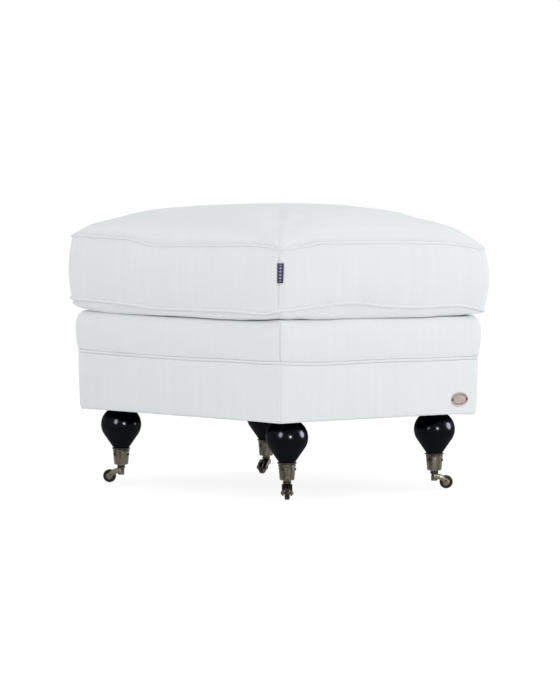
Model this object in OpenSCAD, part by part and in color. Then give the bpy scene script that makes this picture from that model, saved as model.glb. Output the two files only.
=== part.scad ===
// Upholstered footstool: a covered frame on four turned legs with brass cup castors, and a loose box cushion.
// The long side runs along X, the front faces -Y, and the floor under the wheels is z = 0.

/* [Base] */
// Length of the covered base along X, at its welt
base_length = 524; // [470:2:620]
// Depth of the covered base along Y, at its welt
base_depth = 424; // [380:2:520]
// Height of the plain lower band
lower_band_h = 91; // [80:0.5:110]
// Height of the padded upper band
upper_band_h = 64.5; // [60:0.5:80]
// How far each side of the lower band leans in at its foot
band_lean = 2.5; // [0:0.5:4]
// How far each side of the upper band bulges past its seam
band_bulge = 3; // [0:0.5:4]
// How far the upper band's rounded shoulder reaches in
shoulder_w = 14; // [10:1:18]
// Height of that shoulder
shoulder_h = 26; // [18:1:34]
// Radius of the base's upright corners
base_corner_r = 7; // [4:0.5:9]
// Thickness of the base's cover with its lining
base_cloth_t = 2.5; // [2:0.1:3]
// Width of the upper band's cloth where it turns in over the edge roll
band_turn_w = 60; // [50:1:70]
// Width of the hem turned in under the frame
hem_w = 16; // [12:1:17]
// Thickness of that hem
hem_t = 1.2; // [1:0.1:1.5]
// Diameter of the welt round the base
welt_d = 5; // [4:0.25:6]
// How far the welt's centre sits behind the face of the bands
welt_set = 0.5; // [0:0.25:1]

/* [Frame] */
// Thickness of the seat rails
rail_t = 22; // [18:1:24]
// Width of the square corner blocks
block_w = 60; // [54:1:70]
// Height of the corner blocks
block_h = 60; // [50:1:75]
// Chamfer of each block's free edge
block_chamfer = 20; // [10:1:24]
// Diameter of the corner block screws
frame_screw_d = 4.5; // [3.5:0.25:5]
// Length of the corner block screws
frame_screw_l = 50; // [40:1:52]
// How deep these screws bite into the rails
screw_bite = 15; // [10:0.5:16]
// Thickness of the dust cover
dust_t = 0.8; // [0.5:0.1:1]
// Width of the dust cover's staples
staple_w = 10; // [8:0.5:12]
// Thickness of the staple wire
staple_wire = 0.8; // [0.6:0.1:1]

/* [Platform] */
// Width of the webbing
web_w = 50; // [40:1:54]
// Thickness of the webbing
web_t = 1.5; // [1:0.1:2]
// Thickness of the hessian
hessian_t = 0.8; // [0.5:0.1:1.2]
// Thickness of the deck pad
pad_t = 33; // [26:1:40]
// Thickness of the deck cloth
deck_cloth_t = 1.2; // [0.8:0.1:1.6]
// Width of the padded edge roll
roll_w = 42; // [34:1:46]
// Diameter of a webbing tack's head
tack_head_d = 6; // [5:0.5:8]

/* [Cushion] */
// Length of the cushion at its seams
cushion_length = 545; // [490:1:650]
// Depth of the cushion at its seams
cushion_depth = 447; // [400:1:550]
// Height of the boxing between the two seams
boxing_h = 99.2; // [85:0.1:110]
// How far the top panel crowns above the upper seam
crown_h = 68; // [50:1:80]
// How far the bottom panel sags below the lower seam
sag_h = 17.5; // [12:0.1:22]
// How far the boxing bulges between its seams
boxing_bulge = 5.5; // [3:0.5:8]
// How far the seams pull in at the middle of each side
seam_draw = 4; // [0:0.5:6]
// Radius of the cushion's upright corners at the seams
cushion_corner_r = 12; // [8:0.5:16]
// Diameter of the piping
piping_d = 4.8; // [4:0.2:5.2]
// Thickness of the cushion's cover with its lining
cover_t = 3; // [2.4:0.1:3.6]
// Thickness of the wadding round the foam core
wadding_t = 20; // [14:1:26]

/* [Zip] */
// Length of the zip along the back of the boxing
zip_length = 390; // [340:5:400]
// Width of the zip's tape
tape_w = 26; // [22:1:28]
// Width of the zip's coil
coil_w = 4.4; // [3.8:0.1:5]
// Thickness of the zip's coil
coil_t = 1.3; // [1:0.1:1.5]
// Length of the slider
slider_l = 11; // [9:0.5:14]
// Length of the pull tab
pull_l = 13.5; // [10:0.5:18]

/* [Legs] */
// How far each leg's axis sits in from the base's ends
leg_inset_x = 46; // [42:1:52]
// How far each leg's axis sits in from the base's front and back
leg_inset_y = 53; // [46:1:56]
// Height of the turned bulb between the cup and the base
bulb_h = 66; // [60:1:76]
// Largest radius of the bulb
bulb_r = 33.1; // [30:0.1:36]
// Radius of the bulb's rounded section
bulb_arc_r = 30; // [27:0.5:32]
// How far the widest point lies below the base
bulb_drop = 24.9; // [22:0.1:27]
// Radius of the leg's top
leg_top_r = 22; // [19:0.5:24]
// Diameter of the hanger bolt
bolt_d = 8; // [6:1:9]
// How deep the hanger bolt goes into the leg
bolt_depth = 45; // [35:1:48]

/* [Castors] */
// Height from the floor to the cup's underside
castor_h = 30; // [28.5:0.5:34]
// Height of the cup
cup_h = 28.5; // [25:0.5:34]
// Outer radius of the cup at its foot
cup_foot_r = 11.8; // [10.5:0.1:12.6]
// Outer radius of the cup under its rim
cup_top_r = 14.2; // [13:0.1:15]
// Outer radius of the cup's rim
cup_rim_r = 15.9; // [15.5:0.1:17]
// Wall thickness of the cup
cup_wall = 1.5; // [1.2:0.1:1.8]
// Thickness of the cup's floor
cup_floor_t = 2.5; // [2:0.1:3]
// Diameter of the swivel pin
pin_d = 6; // [5:0.1:6.6]
// Diameter of the wheel
wheel_d = 22; // [20:0.5:23]
// Width of the wheel
wheel_w = 8.5; // [7:0.1:10]
// How far the wheel's axle trails behind the swivel pin
trail = 19.5; // [18.5:0.1:22]
// Diameter of the wheel's axle
axle_d = 4; // [3:0.1:4.4]
// Thickness of each arm of the horn
arm_t = 3.5; // [2.5:0.1:4]
// Height of each arm's curved band
arm_band_w = 8.4; // [7:0.1:9]
// Radius of the horn's upright hub
hub_r = 5.4; // [4.8:0.1:5.8]
// Diameter of the cup screws
cup_screw_d = 2.6; // [2:0.1:3]

/* [Trim] */
// Width of the woven tag
tag_w = 11; // [8:0.5:13]
// Height of the woven tag
tag_h = 31; // [24:1:36]
// Length of the oval plate
plate_l = 34; // [28:1:40]
// Height of the oval plate
plate_h = 22.5; // [18:0.5:26]
// Thickness of the oval plate
plate_t = 1.2; // [0.8:0.1:1.6]
// How far the oval plate's centre sits from the base's back face
plate_from_back = 37; // [30:1:60]
// Height of the oval plate's centre above the base's lower edge
plate_up = 23.5; // [20:0.5:60]

/* [Hidden] */
CORNERS = ["front_left", "front_right", "back_right", "back_left"];
SIDES = [[-1, -1], [1, -1], [1, 1], [-1, 1]];
SET = ["leg_", "castor_cup_", "swivel_pin_", "castor_horn_", "castor_axle_", "castor_wheel_"];
$fn = 48;

// Running, seating and sewing clearances
run_gap = 0.06;
seat_gap = 0.1;
soft_gap = 0.3;
tiny = 0.02;
// A cut reaches this far past the face that it opens
past = 1;

// Heights, from the floor up
axle_z = wheel_d/2;
cup_z = castor_h;
rim_z = cup_z + cup_h;
base_z = rim_z + bulb_h;
rail_z = base_z + hem_t;
welt_z = base_z + lower_band_h + welt_d/2;
band_z = welt_z + welt_d/2;
band_top = band_z + upper_band_h;
deck_z = band_top - base_cloth_t;
pad_z = deck_z - seat_gap - pad_t;
hessian_z = pad_z - seat_gap - hessian_t;
weave_gap = 0.1;
rail_top = hessian_z - seat_gap - 2*web_t - 3*weave_gap;
rail_h = rail_top - rail_z;
cushion_z = band_top + soft_gap;
seam_low_z = cushion_z + sag_h;
seam_top_z = seam_low_z + boxing_h;
boxing_mid_z = (seam_low_z + seam_top_z)/2;

// Half sizes of the base in plan
half_x = base_length/2;
half_y = base_depth/2;
frame_x = half_x - band_lean - base_cloth_t;
frame_y = half_y - band_lean - base_cloth_t;
inner_x = frame_x - rail_t;
inner_y = frame_y - rail_t;
frame_corner_r = base_corner_r - base_cloth_t;
leg_x = half_x - leg_inset_x;
leg_y = half_y - leg_inset_y;
lean_angle = atan(band_lean/lower_band_h);

// Fastenings of the frame
frame_screw_head_r = frame_screw_d;
frame_screw_head_h = 2.7;
t_nut_flange_r = 11;
t_nut_flange_t = 1.5;
t_nut_barrel_r = bolt_d/2 + 1.2;
t_nut_barrel_l = 10;
bolt_past_nut = 3;
tack_head_t = 0.7;
tack_shank_r = 0.8;
tack_l = 8;
staple_l = 5;
staple_rows = [6, 5];
staple_ends = 30;
dust_in = 4;
staple_edge = 4;
staple_in = dust_in + staple_edge;
long_straps = 4;
cross_straps = 5;
strap_back = 5;

// Platform levels and places
web_amp = web_t/2 + weave_gap/2;
web_mid = rail_top + web_t + 1.5*weave_gap;
cross_pitch = 2*inner_x/(cross_straps + 0.3);
long_pitch = 2*inner_y/(long_straps + 0.3);

// Castor levels and radii
washer_t = 1.3;
washer_r = 6.9;
washer_z = cup_z - washer_t;
collar_h = 4;
collar_top = washer_z - seat_gap;
hub_foot = axle_z + 1.7;
arm_in = wheel_w/2 + 0.75;
arm_out = arm_in + arm_t;
arm_bend_x = 3;
arm_bend_r = norm([trail - arm_bend_x, axle_z]);
arm_low = atan2(axle_z, trail - arm_bend_x);
arm_high = 100;
crown_from = 62;
crown_set = 0.7;
boss_r = arm_band_w/2 + 0.4;
boss_set = 0.3;
wheel_room = 1.2;
rivet_r = 3.2;
rivet_h = 1.7;
pin_head_r = pin_d/2 + 2;
pin_head_h = 2;
spigot_z = cup_z + cup_floor_t + pin_head_h + 1.2;
spigot_gap = 0.2;
cup_screw_up = 17.4;
cup_screw_l = 6;
cup_screw_head_r = 2.2;
cup_screw_head_h = 1.1;
bead_down = 5.5;
bead_r = 0.45;
rim_t = 2;
// Where each horn trails at rest, and where the first screw of each cup lies
heading = [-129.6, -39.6, 50.4, -59.6];
screw_turn = [-96.6, -72.6, -89.6, -87.6];

// Cushion outline and rings
cush_x = cushion_length/2;
cush_y = cushion_depth/2;
arc_steps = 4;
side_steps = 7;
seam_valley = 2.2;
seam_lip = 3;
crown_power = 0.38;
sag_spread = 1.9;
crown_rings = [1, 0.985, 0.955, 0.91, 0.84, 0.74, 0.6, 0.42, 0.22];
sag_rings = [0.82, 0.9, 0.95, 0.985, 1];
boxing_rings = [-1, -0.5, 0, 0.5, 1];
piping_out = 0.9;
piping_sides = 6;
core_lift = 3;
core_drop = 8;

// Zip, set in a groove so that it lies within the boxing's bulge
zip_room = 6.4;
tape_t = 0.6;
groove_w = max(tape_w, 2*pull_l) + 4;
groove_over = 5;
groove_l = zip_length + 2*groove_over;
zip_y = cush_y + boxing_bulge - zip_room;
tape_y = zip_y + soft_gap;
coil_y = tape_y + tape_t;
slider_gap = 0.25;
slider_w = 8.6;
slider_skin = 0.9;
slider_y = coil_y + slider_gap;
slider_top = coil_y + coil_t + slider_gap + slider_skin;
slider_in = 8;
slider_x = zip_length/2 - slider_l/2 - slider_in;
bail_r = 0.6;
bail_post = 1.3;
eye_r = 1.25;
bail_y = slider_top + 0.2 + eye_r;
pull_t = 1;
pull_w = 6;
stop_l = 3;

// Trim
tag_t = 1;
tag_up = -7.85;
tag_turn = -42;
plate_facets = 48;
nail_r = 1;
nail_head_r = 1.8;
nail_head_h = 0.9;
nail_l = 9;
nail_in = 4;

// Prism of a rounded rectangle in plan
module plan_prism(hx, hy, r, z0, z1) {
    translate([0, 0, z0]) linear_extrude(z1 - z0) {
        square([2*hx, 2*(hy - r)], center = true);
        square([2*(hx - r), 2*hy], center = true);
        for (s = SIDES) translate([s[0]*(hx - r), s[1]*(hy - r)]) circle(r);
    }
}

// Flat-sided block between two heights
module block(hx, hy, z0, z1) {
    translate([-hx, -hy, z0]) cube([2*hx, 2*hy, z1 - z0]);
}

// A section of the base, given as points [past the half size, height], run along Y and along X and kept where
// the two agree, so that its corners are mitred
module mitred(section, z0, z1, r) {
    intersection() {
        rotate([90, 0, 0]) linear_extrude(2*base_length, center = true)
            polygon(concat([for (p = section) [half_x + p[0], p[1]]],
                [for (i = [len(section) - 1:-1:0]) [-half_x - section[i][0], section[i][1]]]));
        rotate([90, 0, 90]) linear_extrude(2*base_length, center = true)
            polygon(concat([for (p = section) [half_y + p[0], p[1]]],
                [for (i = [len(section) - 1:-1:0]) [-half_y - section[i][0], section[i][1]]]));
        plan_prism(half_x + band_bulge, half_y + band_bulge, r, z0, z1);
    }
}

// Put children at each leg's axis; $i is the leg's number
module at_legs() {
    for ($i = [0:3]) translate([SIDES[$i][0]*leg_x, SIDES[$i][1]*leg_y, 0]) children();
}

// Rails: front and back run the full length, left and right stand between them
module rail_blank(along_x, side) {
    if (along_x)
        translate([-frame_x, side > 0 ? inner_y : -frame_y, rail_z]) cube([2*frame_x, rail_t, rail_h]);
    else
        translate([side > 0 ? inner_x : -frame_x, -inner_y, rail_z]) cube([rail_t, 2*inner_y, rail_h]);
}

module rail(along_x, side) {
    color("burlywood") difference() {
        intersection() {
            rail_blank(along_x, side);
            plan_prism(frame_x, frame_y, frame_corner_r, rail_z - past, rail_top + past);
        }
        frame_screw_places(seat_gap/2);
        tack_shanks(seat_gap/2);
        staples(seat_gap/2);
        at_badge() nail_shanks(seat_gap/2);
    }
}

// Corner blocks fill the frame's corners, over the legs
module corner_block() {
    linear_extrude(block_h) polygon([
        [0, 0], [-block_w, 0], [-block_w, -block_w + block_chamfer],
        [-block_w + block_chamfer, -block_w], [0, -block_w]]);
}

module corner_blocks() {
    color("tan") difference() {
        for (s = SIDES) translate([s[0]*inner_x, s[1]*inner_y, rail_z])
            mirror([s[0] < 0 ? 1 : 0, 0, 0]) mirror([0, s[1] < 0 ? 1 : 0, 0]) corner_block();
        at_legs() {
            translate([0, 0, rail_z - past]) cylinder(r = bolt_d/2 + 0.4, h = block_h + 2*past);
            translate([0, 0, rail_z + block_h - t_nut_barrel_l])
                cylinder(r = t_nut_barrel_r + seat_gap/2, h = t_nut_barrel_l + past);
        }
        frame_screw_places(seat_gap/2);
        frame_screw_wells();
    }
}

// One screw toward each rail at every corner: heads in wells, points in the rails
module screw_along_x() {
    translate([inner_x + screw_bite, (leg_y + inner_y)/2, rail_z + 0.3*block_h])
        rotate([0, -90, 0]) children();
}

module screw_along_y() {
    translate([(leg_x + inner_x)/2, inner_y + screw_bite, rail_z + 0.62*block_h])
        rotate([90, 0, 0]) children();
}

module each_frame_screw() {
    for (mx = [0, 1], my = [0, 1]) mirror([mx, 0, 0]) mirror([0, my, 0]) {
        screw_along_x() children();
        screw_along_y() children();
    }
}

module frame_screw(gap) {
    cylinder(r = frame_screw_d/2 + gap, h = frame_screw_l - frame_screw_head_h + tiny);
    translate([0, 0, frame_screw_l - frame_screw_head_h])
        cylinder(r1 = frame_screw_d/2 + gap, r2 = frame_screw_head_r + gap, h = frame_screw_head_h);
}

module frame_screw_places(gap) {
    each_frame_screw() translate([0, 0, -gap]) frame_screw(gap);
}

module frame_screw_wells() {
    each_frame_screw() translate([0, 0, frame_screw_l - seat_gap])
        cylinder(r = frame_screw_head_r + 0.5, h = block_w);
}

module corner_block_screws() {
    color("goldenrod") each_frame_screw() frame_screw(0);
}

// Hanger bolts: one end in the leg, the other up through the block and its nut
module leg_bolts() {
    color("silver") at_legs() translate([0, 0, rail_z - bolt_depth])
        cylinder(r = bolt_d/2, h = bolt_depth + block_h + t_nut_flange_t + bolt_past_nut);
}

module leg_t_nuts() {
    color("slategray") at_legs() translate([0, 0, rail_z + block_h]) difference() {
        union() {
            cylinder(r = t_nut_flange_r, h = t_nut_flange_t);
            translate([0, 0, -t_nut_barrel_l + seat_gap]) cylinder(r = t_nut_barrel_r, h = t_nut_barrel_l);
        }
        translate([0, 0, -t_nut_barrel_l - past])
            cylinder(r = bolt_d/2 + seat_gap/2, h = t_nut_barrel_l + t_nut_flange_t + 2*past);
    }
}

// Webbing: a strap dips under and climbs over the straps that cross it, and its ends lie on the rails
function strap_line(reach, rail_in, places, first) = concat(
    [[-reach, rail_top + web_t/2], [-rail_in + 2, rail_top + web_t/2]],
    [for (j = [0:len(places) - 1], e = [-1, 1])
        [places[j] + e*(web_w/2 + 1), web_mid + ((j + first) % 2 == 0 ? 1 : -1)*web_amp]],
    [[rail_in - 2, rail_top + web_t/2], [reach, rail_top + web_t/2]]
);

module strap(line) {
    rotate([90, 0, 0]) linear_extrude(web_w, center = true) polygon(concat(
        [for (p = line) [p[0], p[1] - web_t/2 + tiny]],
        [for (i = [len(line) - 1:-1:0]) [line[i][0], line[i][1] + web_t/2]]));
}

function places(n, pitch) = [for (i = [0:n - 1]) (i - (n - 1)/2)*pitch];

module webbing_long() {
    color("peru") difference() {
        for (i = [0:long_straps - 1]) translate([0, places(long_straps, long_pitch)[i], 0])
            strap(strap_line(frame_x - strap_back, inner_x, places(cross_straps, cross_pitch), i));
        tack_shanks(seat_gap/2);
    }
}

module webbing_cross() {
    color("sienna") difference() {
        for (i = [0:cross_straps - 1]) translate([places(cross_straps, cross_pitch)[i], 0, 0])
            rotate([0, 0, 90])
                strap(strap_line(frame_y - strap_back, inner_y, places(long_straps, long_pitch), i + 1));
        tack_shanks(seat_gap/2);
    }
}

// Two tacks hold each end of each strap on the middle of its rail
module at_tacks() {
    for (e = [-1, 1], a = [-1, 1]) {
        for (y = places(long_straps, long_pitch))
            translate([e*(inner_x + rail_t/2), y + a*web_w/4, rail_top + web_t]) children();
        for (x = places(cross_straps, cross_pitch))
            translate([x + a*web_w/4, e*(inner_y + rail_t/2), rail_top + web_t]) children();
    }
}

module tack_shanks(gap) {
    at_tacks() translate([0, 0, -tack_l - gap])
        cylinder(r = tack_shank_r + gap, h = tack_l + gap + tiny, $fn = 16);
}

module webbing_tacks() {
    color("dimgray") at_tacks() {
        translate([0, 0, tiny]) cylinder(r = tack_head_d/2, h = tack_head_t);
        translate([0, 0, -tack_l]) cylinder(r = tack_shank_r, h = tack_l + tack_head_t/2, $fn = 16);
    }
}

module hessian() {
    color("darkkhaki")
        plan_prism(frame_x - 2, frame_y - 2, frame_corner_r, hessian_z, hessian_z + hessian_t);
}

module deck_pad() {
    color("lightyellow")
        block(frame_x - roll_w - soft_gap, frame_y - roll_w - soft_gap, pad_z, pad_z + pad_t);
}

module deck_cover() {
    color("whitesmoke") block(half_x - band_turn_w - soft_gap, half_y - band_turn_w - soft_gap,
        deck_z, deck_z + deck_cloth_t);
}

// The upper band's section: it swells from the seam and rounds over at the shoulder
swell_steps = 3;
shoulder_steps = 7;
function band_section(inset, z0) = concat(
    [for (i = [0:swell_steps]) let (t = i/swell_steps)
        [band_bulge*(1 - (1 - t)*(1 - t)) - inset, z0 + t*(band_top - shoulder_h - z0)]],
    [for (i = [1:shoulder_steps]) let (a = 90*i/shoulder_steps)
        [band_bulge - inset - (shoulder_w - inset)*(1 - cos(a)),
            band_top - shoulder_h + (shoulder_h - inset)*sin(a)]]
);

module upper_band_cover() {
    color("white") difference() {
        mitred(band_section(0, band_z), band_z, band_top, base_corner_r);
        block(frame_x + seat_gap/2, frame_y + seat_gap/2, band_z - past, hessian_z + hessian_t);
        roll_room();
        block(half_x - band_turn_w, half_y - band_turn_w, pad_z, band_top + past);
    }
}

// Room for the edge roll under the band's cloth
module roll_room() {
    intersection() {
        mitred(band_section(base_cloth_t, band_z), band_z, band_top - base_cloth_t, frame_corner_r);
        block(frame_x + seat_gap/2, frame_y + seat_gap/2, hessian_z, band_top);
    }
}

// Edge roll: four padded strips, mitred at the corners
module edge_roll() {
    color("ivory") intersection() {
        difference() {
            intersection() {
                mitred(band_section(base_cloth_t + seat_gap, band_z), band_z,
                    band_top - base_cloth_t - seat_gap, frame_corner_r);
                block(frame_x, frame_y, pad_z, band_top);
            }
            block(frame_x - roll_w, frame_y - roll_w, pad_z - past, band_top + past);
        }
        mitre_wedges();
    }
}

module mitre_wedges() {
    cut = tiny + seat_gap;
    reach = frame_x + frame_y;
    for (s = [-1, 1]) {
        translate([0, s*(frame_y - frame_x), pad_z]) linear_extrude(pad_t + past)
            polygon([[0, s*cut], [reach, s*(reach + cut)], [-reach, s*(reach + cut)]]);
        translate([0, 0, pad_z]) linear_extrude(pad_t + past)
            polygon([[s*(frame_x - frame_y + cut), 0], [s*(frame_x + cut), frame_y], [s*reach, frame_y],
                [s*reach, -frame_y], [s*(frame_x + cut), -frame_y]]);
    }
}

// Lower band: it leans in to its foot, and its hem turns in under the rails
module lower_band_cover() {
    foot = [[-band_lean, base_z], [0, base_z + lower_band_h]];
    color("white") difference() {
        mitred(foot, base_z, base_z + lower_band_h, base_corner_r + band_bulge);
        plan_prism(frame_x + seat_gap/2, frame_y + seat_gap/2, frame_corner_r, rail_z,
            base_z + lower_band_h + past);
        block(half_x - band_lean - hem_w, half_y - band_lean - hem_w, base_z - past, rail_z + past);
        staples(seat_gap/2);
        at_badge() nail_shanks(seat_gap/2);
    }
}

// Welt: one cord round the base, four runs and four bends
module base_welt() {
    wx = half_x - welt_set;
    wy = half_y - welt_set;
    r = welt_d/2 - seat_gap/2;
    bend = base_corner_r;
    color("white") translate([0, 0, welt_z]) {
        for (s = [-1, 1]) {
            translate([-(wx - bend), s*wy, 0]) rotate([0, 90, 0]) cylinder(r = r, h = 2*(wx - bend));
            translate([s*wx, -(wy - bend), 0]) rotate([-90, 0, 0]) cylinder(r = r, h = 2*(wy - bend));
        }
        for (k = [0:3]) translate([SIDES[k][0]*(wx - bend), SIDES[k][1]*(wy - bend), 0])
            rotate([0, 0, 180 + 90*k]) rotate_extrude(angle = 90) translate([bend, 0]) circle(r);
    }
}

// Dust cover under the frame, open round the legs
module dust_cover() {
    color("dimgray") difference() {
        block(half_x - band_lean - dust_in, half_y - band_lean - dust_in, base_z - dust_t, base_z);
        at_legs() translate([0, 0, base_z - dust_t - past])
            cylinder(r = leg_top_r + 1.5, h = dust_t + 2*past);
        staples(seat_gap/2);
    }
}

// Put children at each staple, lying along its edge
module at_staples() {
    ex = half_x - band_lean - staple_in;
    ey = half_y - band_lean - staple_in;
    for (s = [-1, 1]) {
        for (i = [0:staple_rows[0] - 1])
            translate([(2*i/(staple_rows[0] - 1) - 1)*(ex - staple_ends), s*ey, 0]) children();
        for (i = [0:staple_rows[1] - 1])
            translate([s*ex, (2*i/(staple_rows[1] - 1) - 1)*(ey - staple_ends), 0])
                rotate([0, 0, 90]) children();
    }
}

// A staple's crown is driven flush with the dust cover's underside; a gap widens it to the room that it needs
module staples(gap) {
    side = staple_wire + 2*gap;
    foot = base_z - dust_t + tiny;
    at_staples() {
        translate([-staple_w/2 - gap, -side/2, gap > 0 ? foot - past : foot])
            cube([staple_w + 2*gap, side, gap > 0 ? staple_wire + past + gap : staple_wire]);
        for (e = [-1, 1]) translate([e*(staple_w - staple_wire)/2 - side/2, -side/2, foot])
            cube([side, side, staple_l + gap]);
    }
}

module dust_cover_staples() {
    color("silver") staples(0);
}

// Leg: a bulb turned to one arc, a straight taper that meets it smoothly, and a spigot in the cup
function cup_r_at(z) = cup_foot_r + (cup_top_r - cup_foot_r)*(z - cup_z)/(cup_h - rim_t);

module leg_shape() {
    cx = bulb_r - bulb_arc_r;
    cz = base_z - bulb_drop;
    neck = [cup_top_r - cup_wall - spigot_gap, rim_z + soft_gap];
    reach = [cx - neck[0], cz - neck[1]];
    tangent = atan2(reach[1], reach[0]) - asin(bulb_arc_r/norm(reach)) - 90;
    top = acos((leg_top_r - cx)/bulb_arc_r);
    steps = 14;
    rotate_extrude() polygon(concat(
        [[0, spigot_z], [cup_r_at(spigot_z) - cup_wall - spigot_gap, spigot_z], neck],
        [for (i = [0:steps]) let (a = tangent + (top - tangent)*i/steps)
            [cx + bulb_arc_r*cos(a), cz + bulb_arc_r*sin(a)]],
        [[leg_top_r, rail_z - tiny], [0, rail_z - tiny]]
    ));
}

module leg(i) {
    color([0.03, 0.03, 0.04]) translate([SIDES[i][0]*leg_x, SIDES[i][1]*leg_y, 0]) difference() {
        leg_shape();
        translate([0, 0, rail_z - bolt_depth - seat_gap])
            cylinder(r = bolt_d/2 + seat_gap/2, h = bolt_depth + past);
        cup_screw_places(i) translate([0, 0, -seat_gap/2])
            cylinder(r = cup_screw_d/2 + seat_gap/2, h = cup_screw_l + past, $fn = 24);
    }
}

// Castor cup: a tapered socket with a thin rim and a faint bead
module castor_cup(i) {
    bead_z = rim_z - bead_down;
    color([0.45, 0.4, 0.3]) translate([SIDES[i][0]*leg_x, SIDES[i][1]*leg_y, 0]) difference() {
        rotate_extrude() difference() {
            union() {
                polygon([
                    [0, cup_z], [cup_foot_r - 0.8, cup_z], [cup_foot_r, cup_z + 0.8],
                    [cup_top_r, rim_z - rim_t], [cup_rim_r - 0.4, rim_z - rim_t],
                    [cup_rim_r, rim_z - rim_t/2], [cup_rim_r - 0.6, rim_z], [0, rim_z]]);
                polygon([
                    [cup_r_at(bead_z) - cup_wall/2, bead_z - 0.9], [cup_r_at(bead_z - 0.9), bead_z - 0.9],
                    [cup_r_at(bead_z) + bead_r, bead_z], [cup_r_at(bead_z + 0.9), bead_z + 0.9],
                    [cup_r_at(bead_z) - cup_wall/2, bead_z + 0.9]]);
            }
            polygon([
                [0, cup_z + cup_floor_t], [cup_r_at(cup_z + cup_floor_t) - cup_wall, cup_z + cup_floor_t],
                [cup_top_r - cup_wall, rim_z - rim_t],
                [cup_top_r - cup_wall, rim_z + past], [0, rim_z + past]]);
        }
        translate([0, 0, cup_z - past]) cylinder(r = pin_d/2 + run_gap, h = cup_floor_t + 2*past);
        cup_screw_places(i) cylinder(r = cup_screw_d/2 + seat_gap/2, h = cup_screw_l + past, $fn = 24);
    }
}

// Three screws through each cup into the leg; children point outwards from the screw's tip
cup_screw_seat = cup_r_at(cup_z + cup_screw_up + cup_screw_head_r) + tiny;
module cup_screw_places(i) {
    for (k = [0:2]) rotate([0, 0, screw_turn[i] + 120*k])
        translate([cup_screw_seat - cup_screw_l, 0, cup_z + cup_screw_up]) rotate([0, 90, 0]) children();
}

module cup_screws() {
    color([0.5, 0.45, 0.35]) at_legs() cup_screw_places($i) {
        cylinder(r = cup_screw_d/2, h = cup_screw_l + tiny, $fn = 24);
        translate([0, 0, cup_screw_l])
            cylinder(r1 = cup_screw_head_r, r2 = cup_screw_d/2, h = cup_screw_head_h);
    }
}

module castor_washers() {
    color([0.3, 0.28, 0.22]) at_legs() translate([0, 0, washer_z]) difference() {
        cylinder(r = washer_r, h = washer_t);
        translate([0, 0, -past]) cylinder(r = pin_d/2 + 0.3, h = washer_t + 2*past);
    }
}

// The castor's own frame: X trails from the swivel pin to the axle
module castor_at(i) {
    translate([SIDES[i][0]*leg_x, SIDES[i][1]*leg_y, 0]) rotate([0, 0, heading[i]]) children();
}

module swivel_pin(i) {
    color("silver") castor_at(i) {
        translate([0, 0, hub_foot])
            cylinder(r = pin_d/2, h = cup_z + cup_floor_t + seat_gap - hub_foot + tiny);
        translate([0, 0, cup_z + cup_floor_t + seat_gap])
            cylinder(r1 = pin_head_r, r2 = pin_head_r - 1, h = pin_head_h);
    }
}

// Sector of the horn's curved band, in the plane of the wheel
module arm_sector(from, to) {
    reach = 2*arm_bend_r;
    intersection() {
        translate([arm_bend_x, 0]) difference() {
            circle(arm_bend_r + arm_band_w/2);
            circle(arm_bend_r - arm_band_w/2);
        }
        translate([arm_bend_x, 0]) polygon([
            [0, 0], reach*[cos(from), sin(from)],
            reach*[cos((from + to)/2), sin((from + to)/2)], reach*[cos(to), sin(to)]]);
    }
}

module upright(y, t) {
    translate([0, y + t, 0]) rotate([90, 0, 0]) linear_extrude(t) children();
}

module castor_horn(i) {
    color([0.42, 0.38, 0.28]) castor_at(i) difference() {
        union() {
            translate([0, 0, collar_top - collar_h]) cylinder(r = washer_r, h = collar_h);
            translate([0, 0, hub_foot]) cylinder(r = hub_r, h = collar_top - hub_foot - tiny);
            upright(arm_in, arm_t) arm_sector(arm_low, arm_high);
            upright(-arm_out, arm_t) arm_sector(arm_low, arm_high);
            upright(-arm_out + crown_set, 2*(arm_out - crown_set)) arm_sector(crown_from, arm_high - 4);
            for (s = [-1, 1]) translate([trail, s*(arm_in + (arm_t - boss_set)/2), axle_z])
                rotate([90, 0, 0]) cylinder(r = boss_r, h = arm_t - boss_set, center = true);
        }
        translate([trail, arm_in, axle_z]) rotate([90, 0, 0])
            cylinder(r = wheel_d/2 + wheel_room, h = 2*arm_in);
        translate([0, 0, hub_foot - past]) cylinder(r = pin_d/2 + tiny, h = collar_top - hub_foot + 2*past);
        translate([trail, arm_out + past, axle_z]) rotate([90, 0, 0])
            cylinder(r = axle_d/2 + tiny, h = 2*(arm_out + past));
    }
}

module castor_axle(i) {
    color("silver") castor_at(i) translate([trail, 0, axle_z]) rotate([90, 0, 0]) {
        cylinder(r = axle_d/2, h = 2*arm_out + 2*seat_gap, center = true);
        for (s = [0, 1]) mirror([0, 0, s]) translate([0, 0, arm_out + tiny])
            cylinder(r1 = rivet_r, r2 = rivet_r - 1.2, h = rivet_h);
    }
}

// Wheel: rounded tread, sunk sides and a raised hub
module castor_wheel(i) {
    w = wheel_w/2;
    r = wheel_d/2;
    round = 2.2;
    hub = axle_d/2 + 2;
    sunk = 1.4;
    quarter = [for (a = [0:22.5:90]) [r - round + round*cos(a), w - round + round*sin(a)]];
    half = concat(
        [[axle_d/2 + run_gap, w], [hub, w], [hub + 0.5, w - sunk], [r - 3.2, w - sunk], [r - 2.7, w]],
        [for (k = [4:-1:0]) quarter[k]]);
    color([0.25, 0.24, 0.22]) castor_at(i) translate([trail, 0, axle_z]) rotate([90, 0, 0])
        rotate_extrude() polygon(concat(half, [for (k = [len(half) - 1:-1:0]) [half[k][0], -half[k][1]]]));
}

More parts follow.
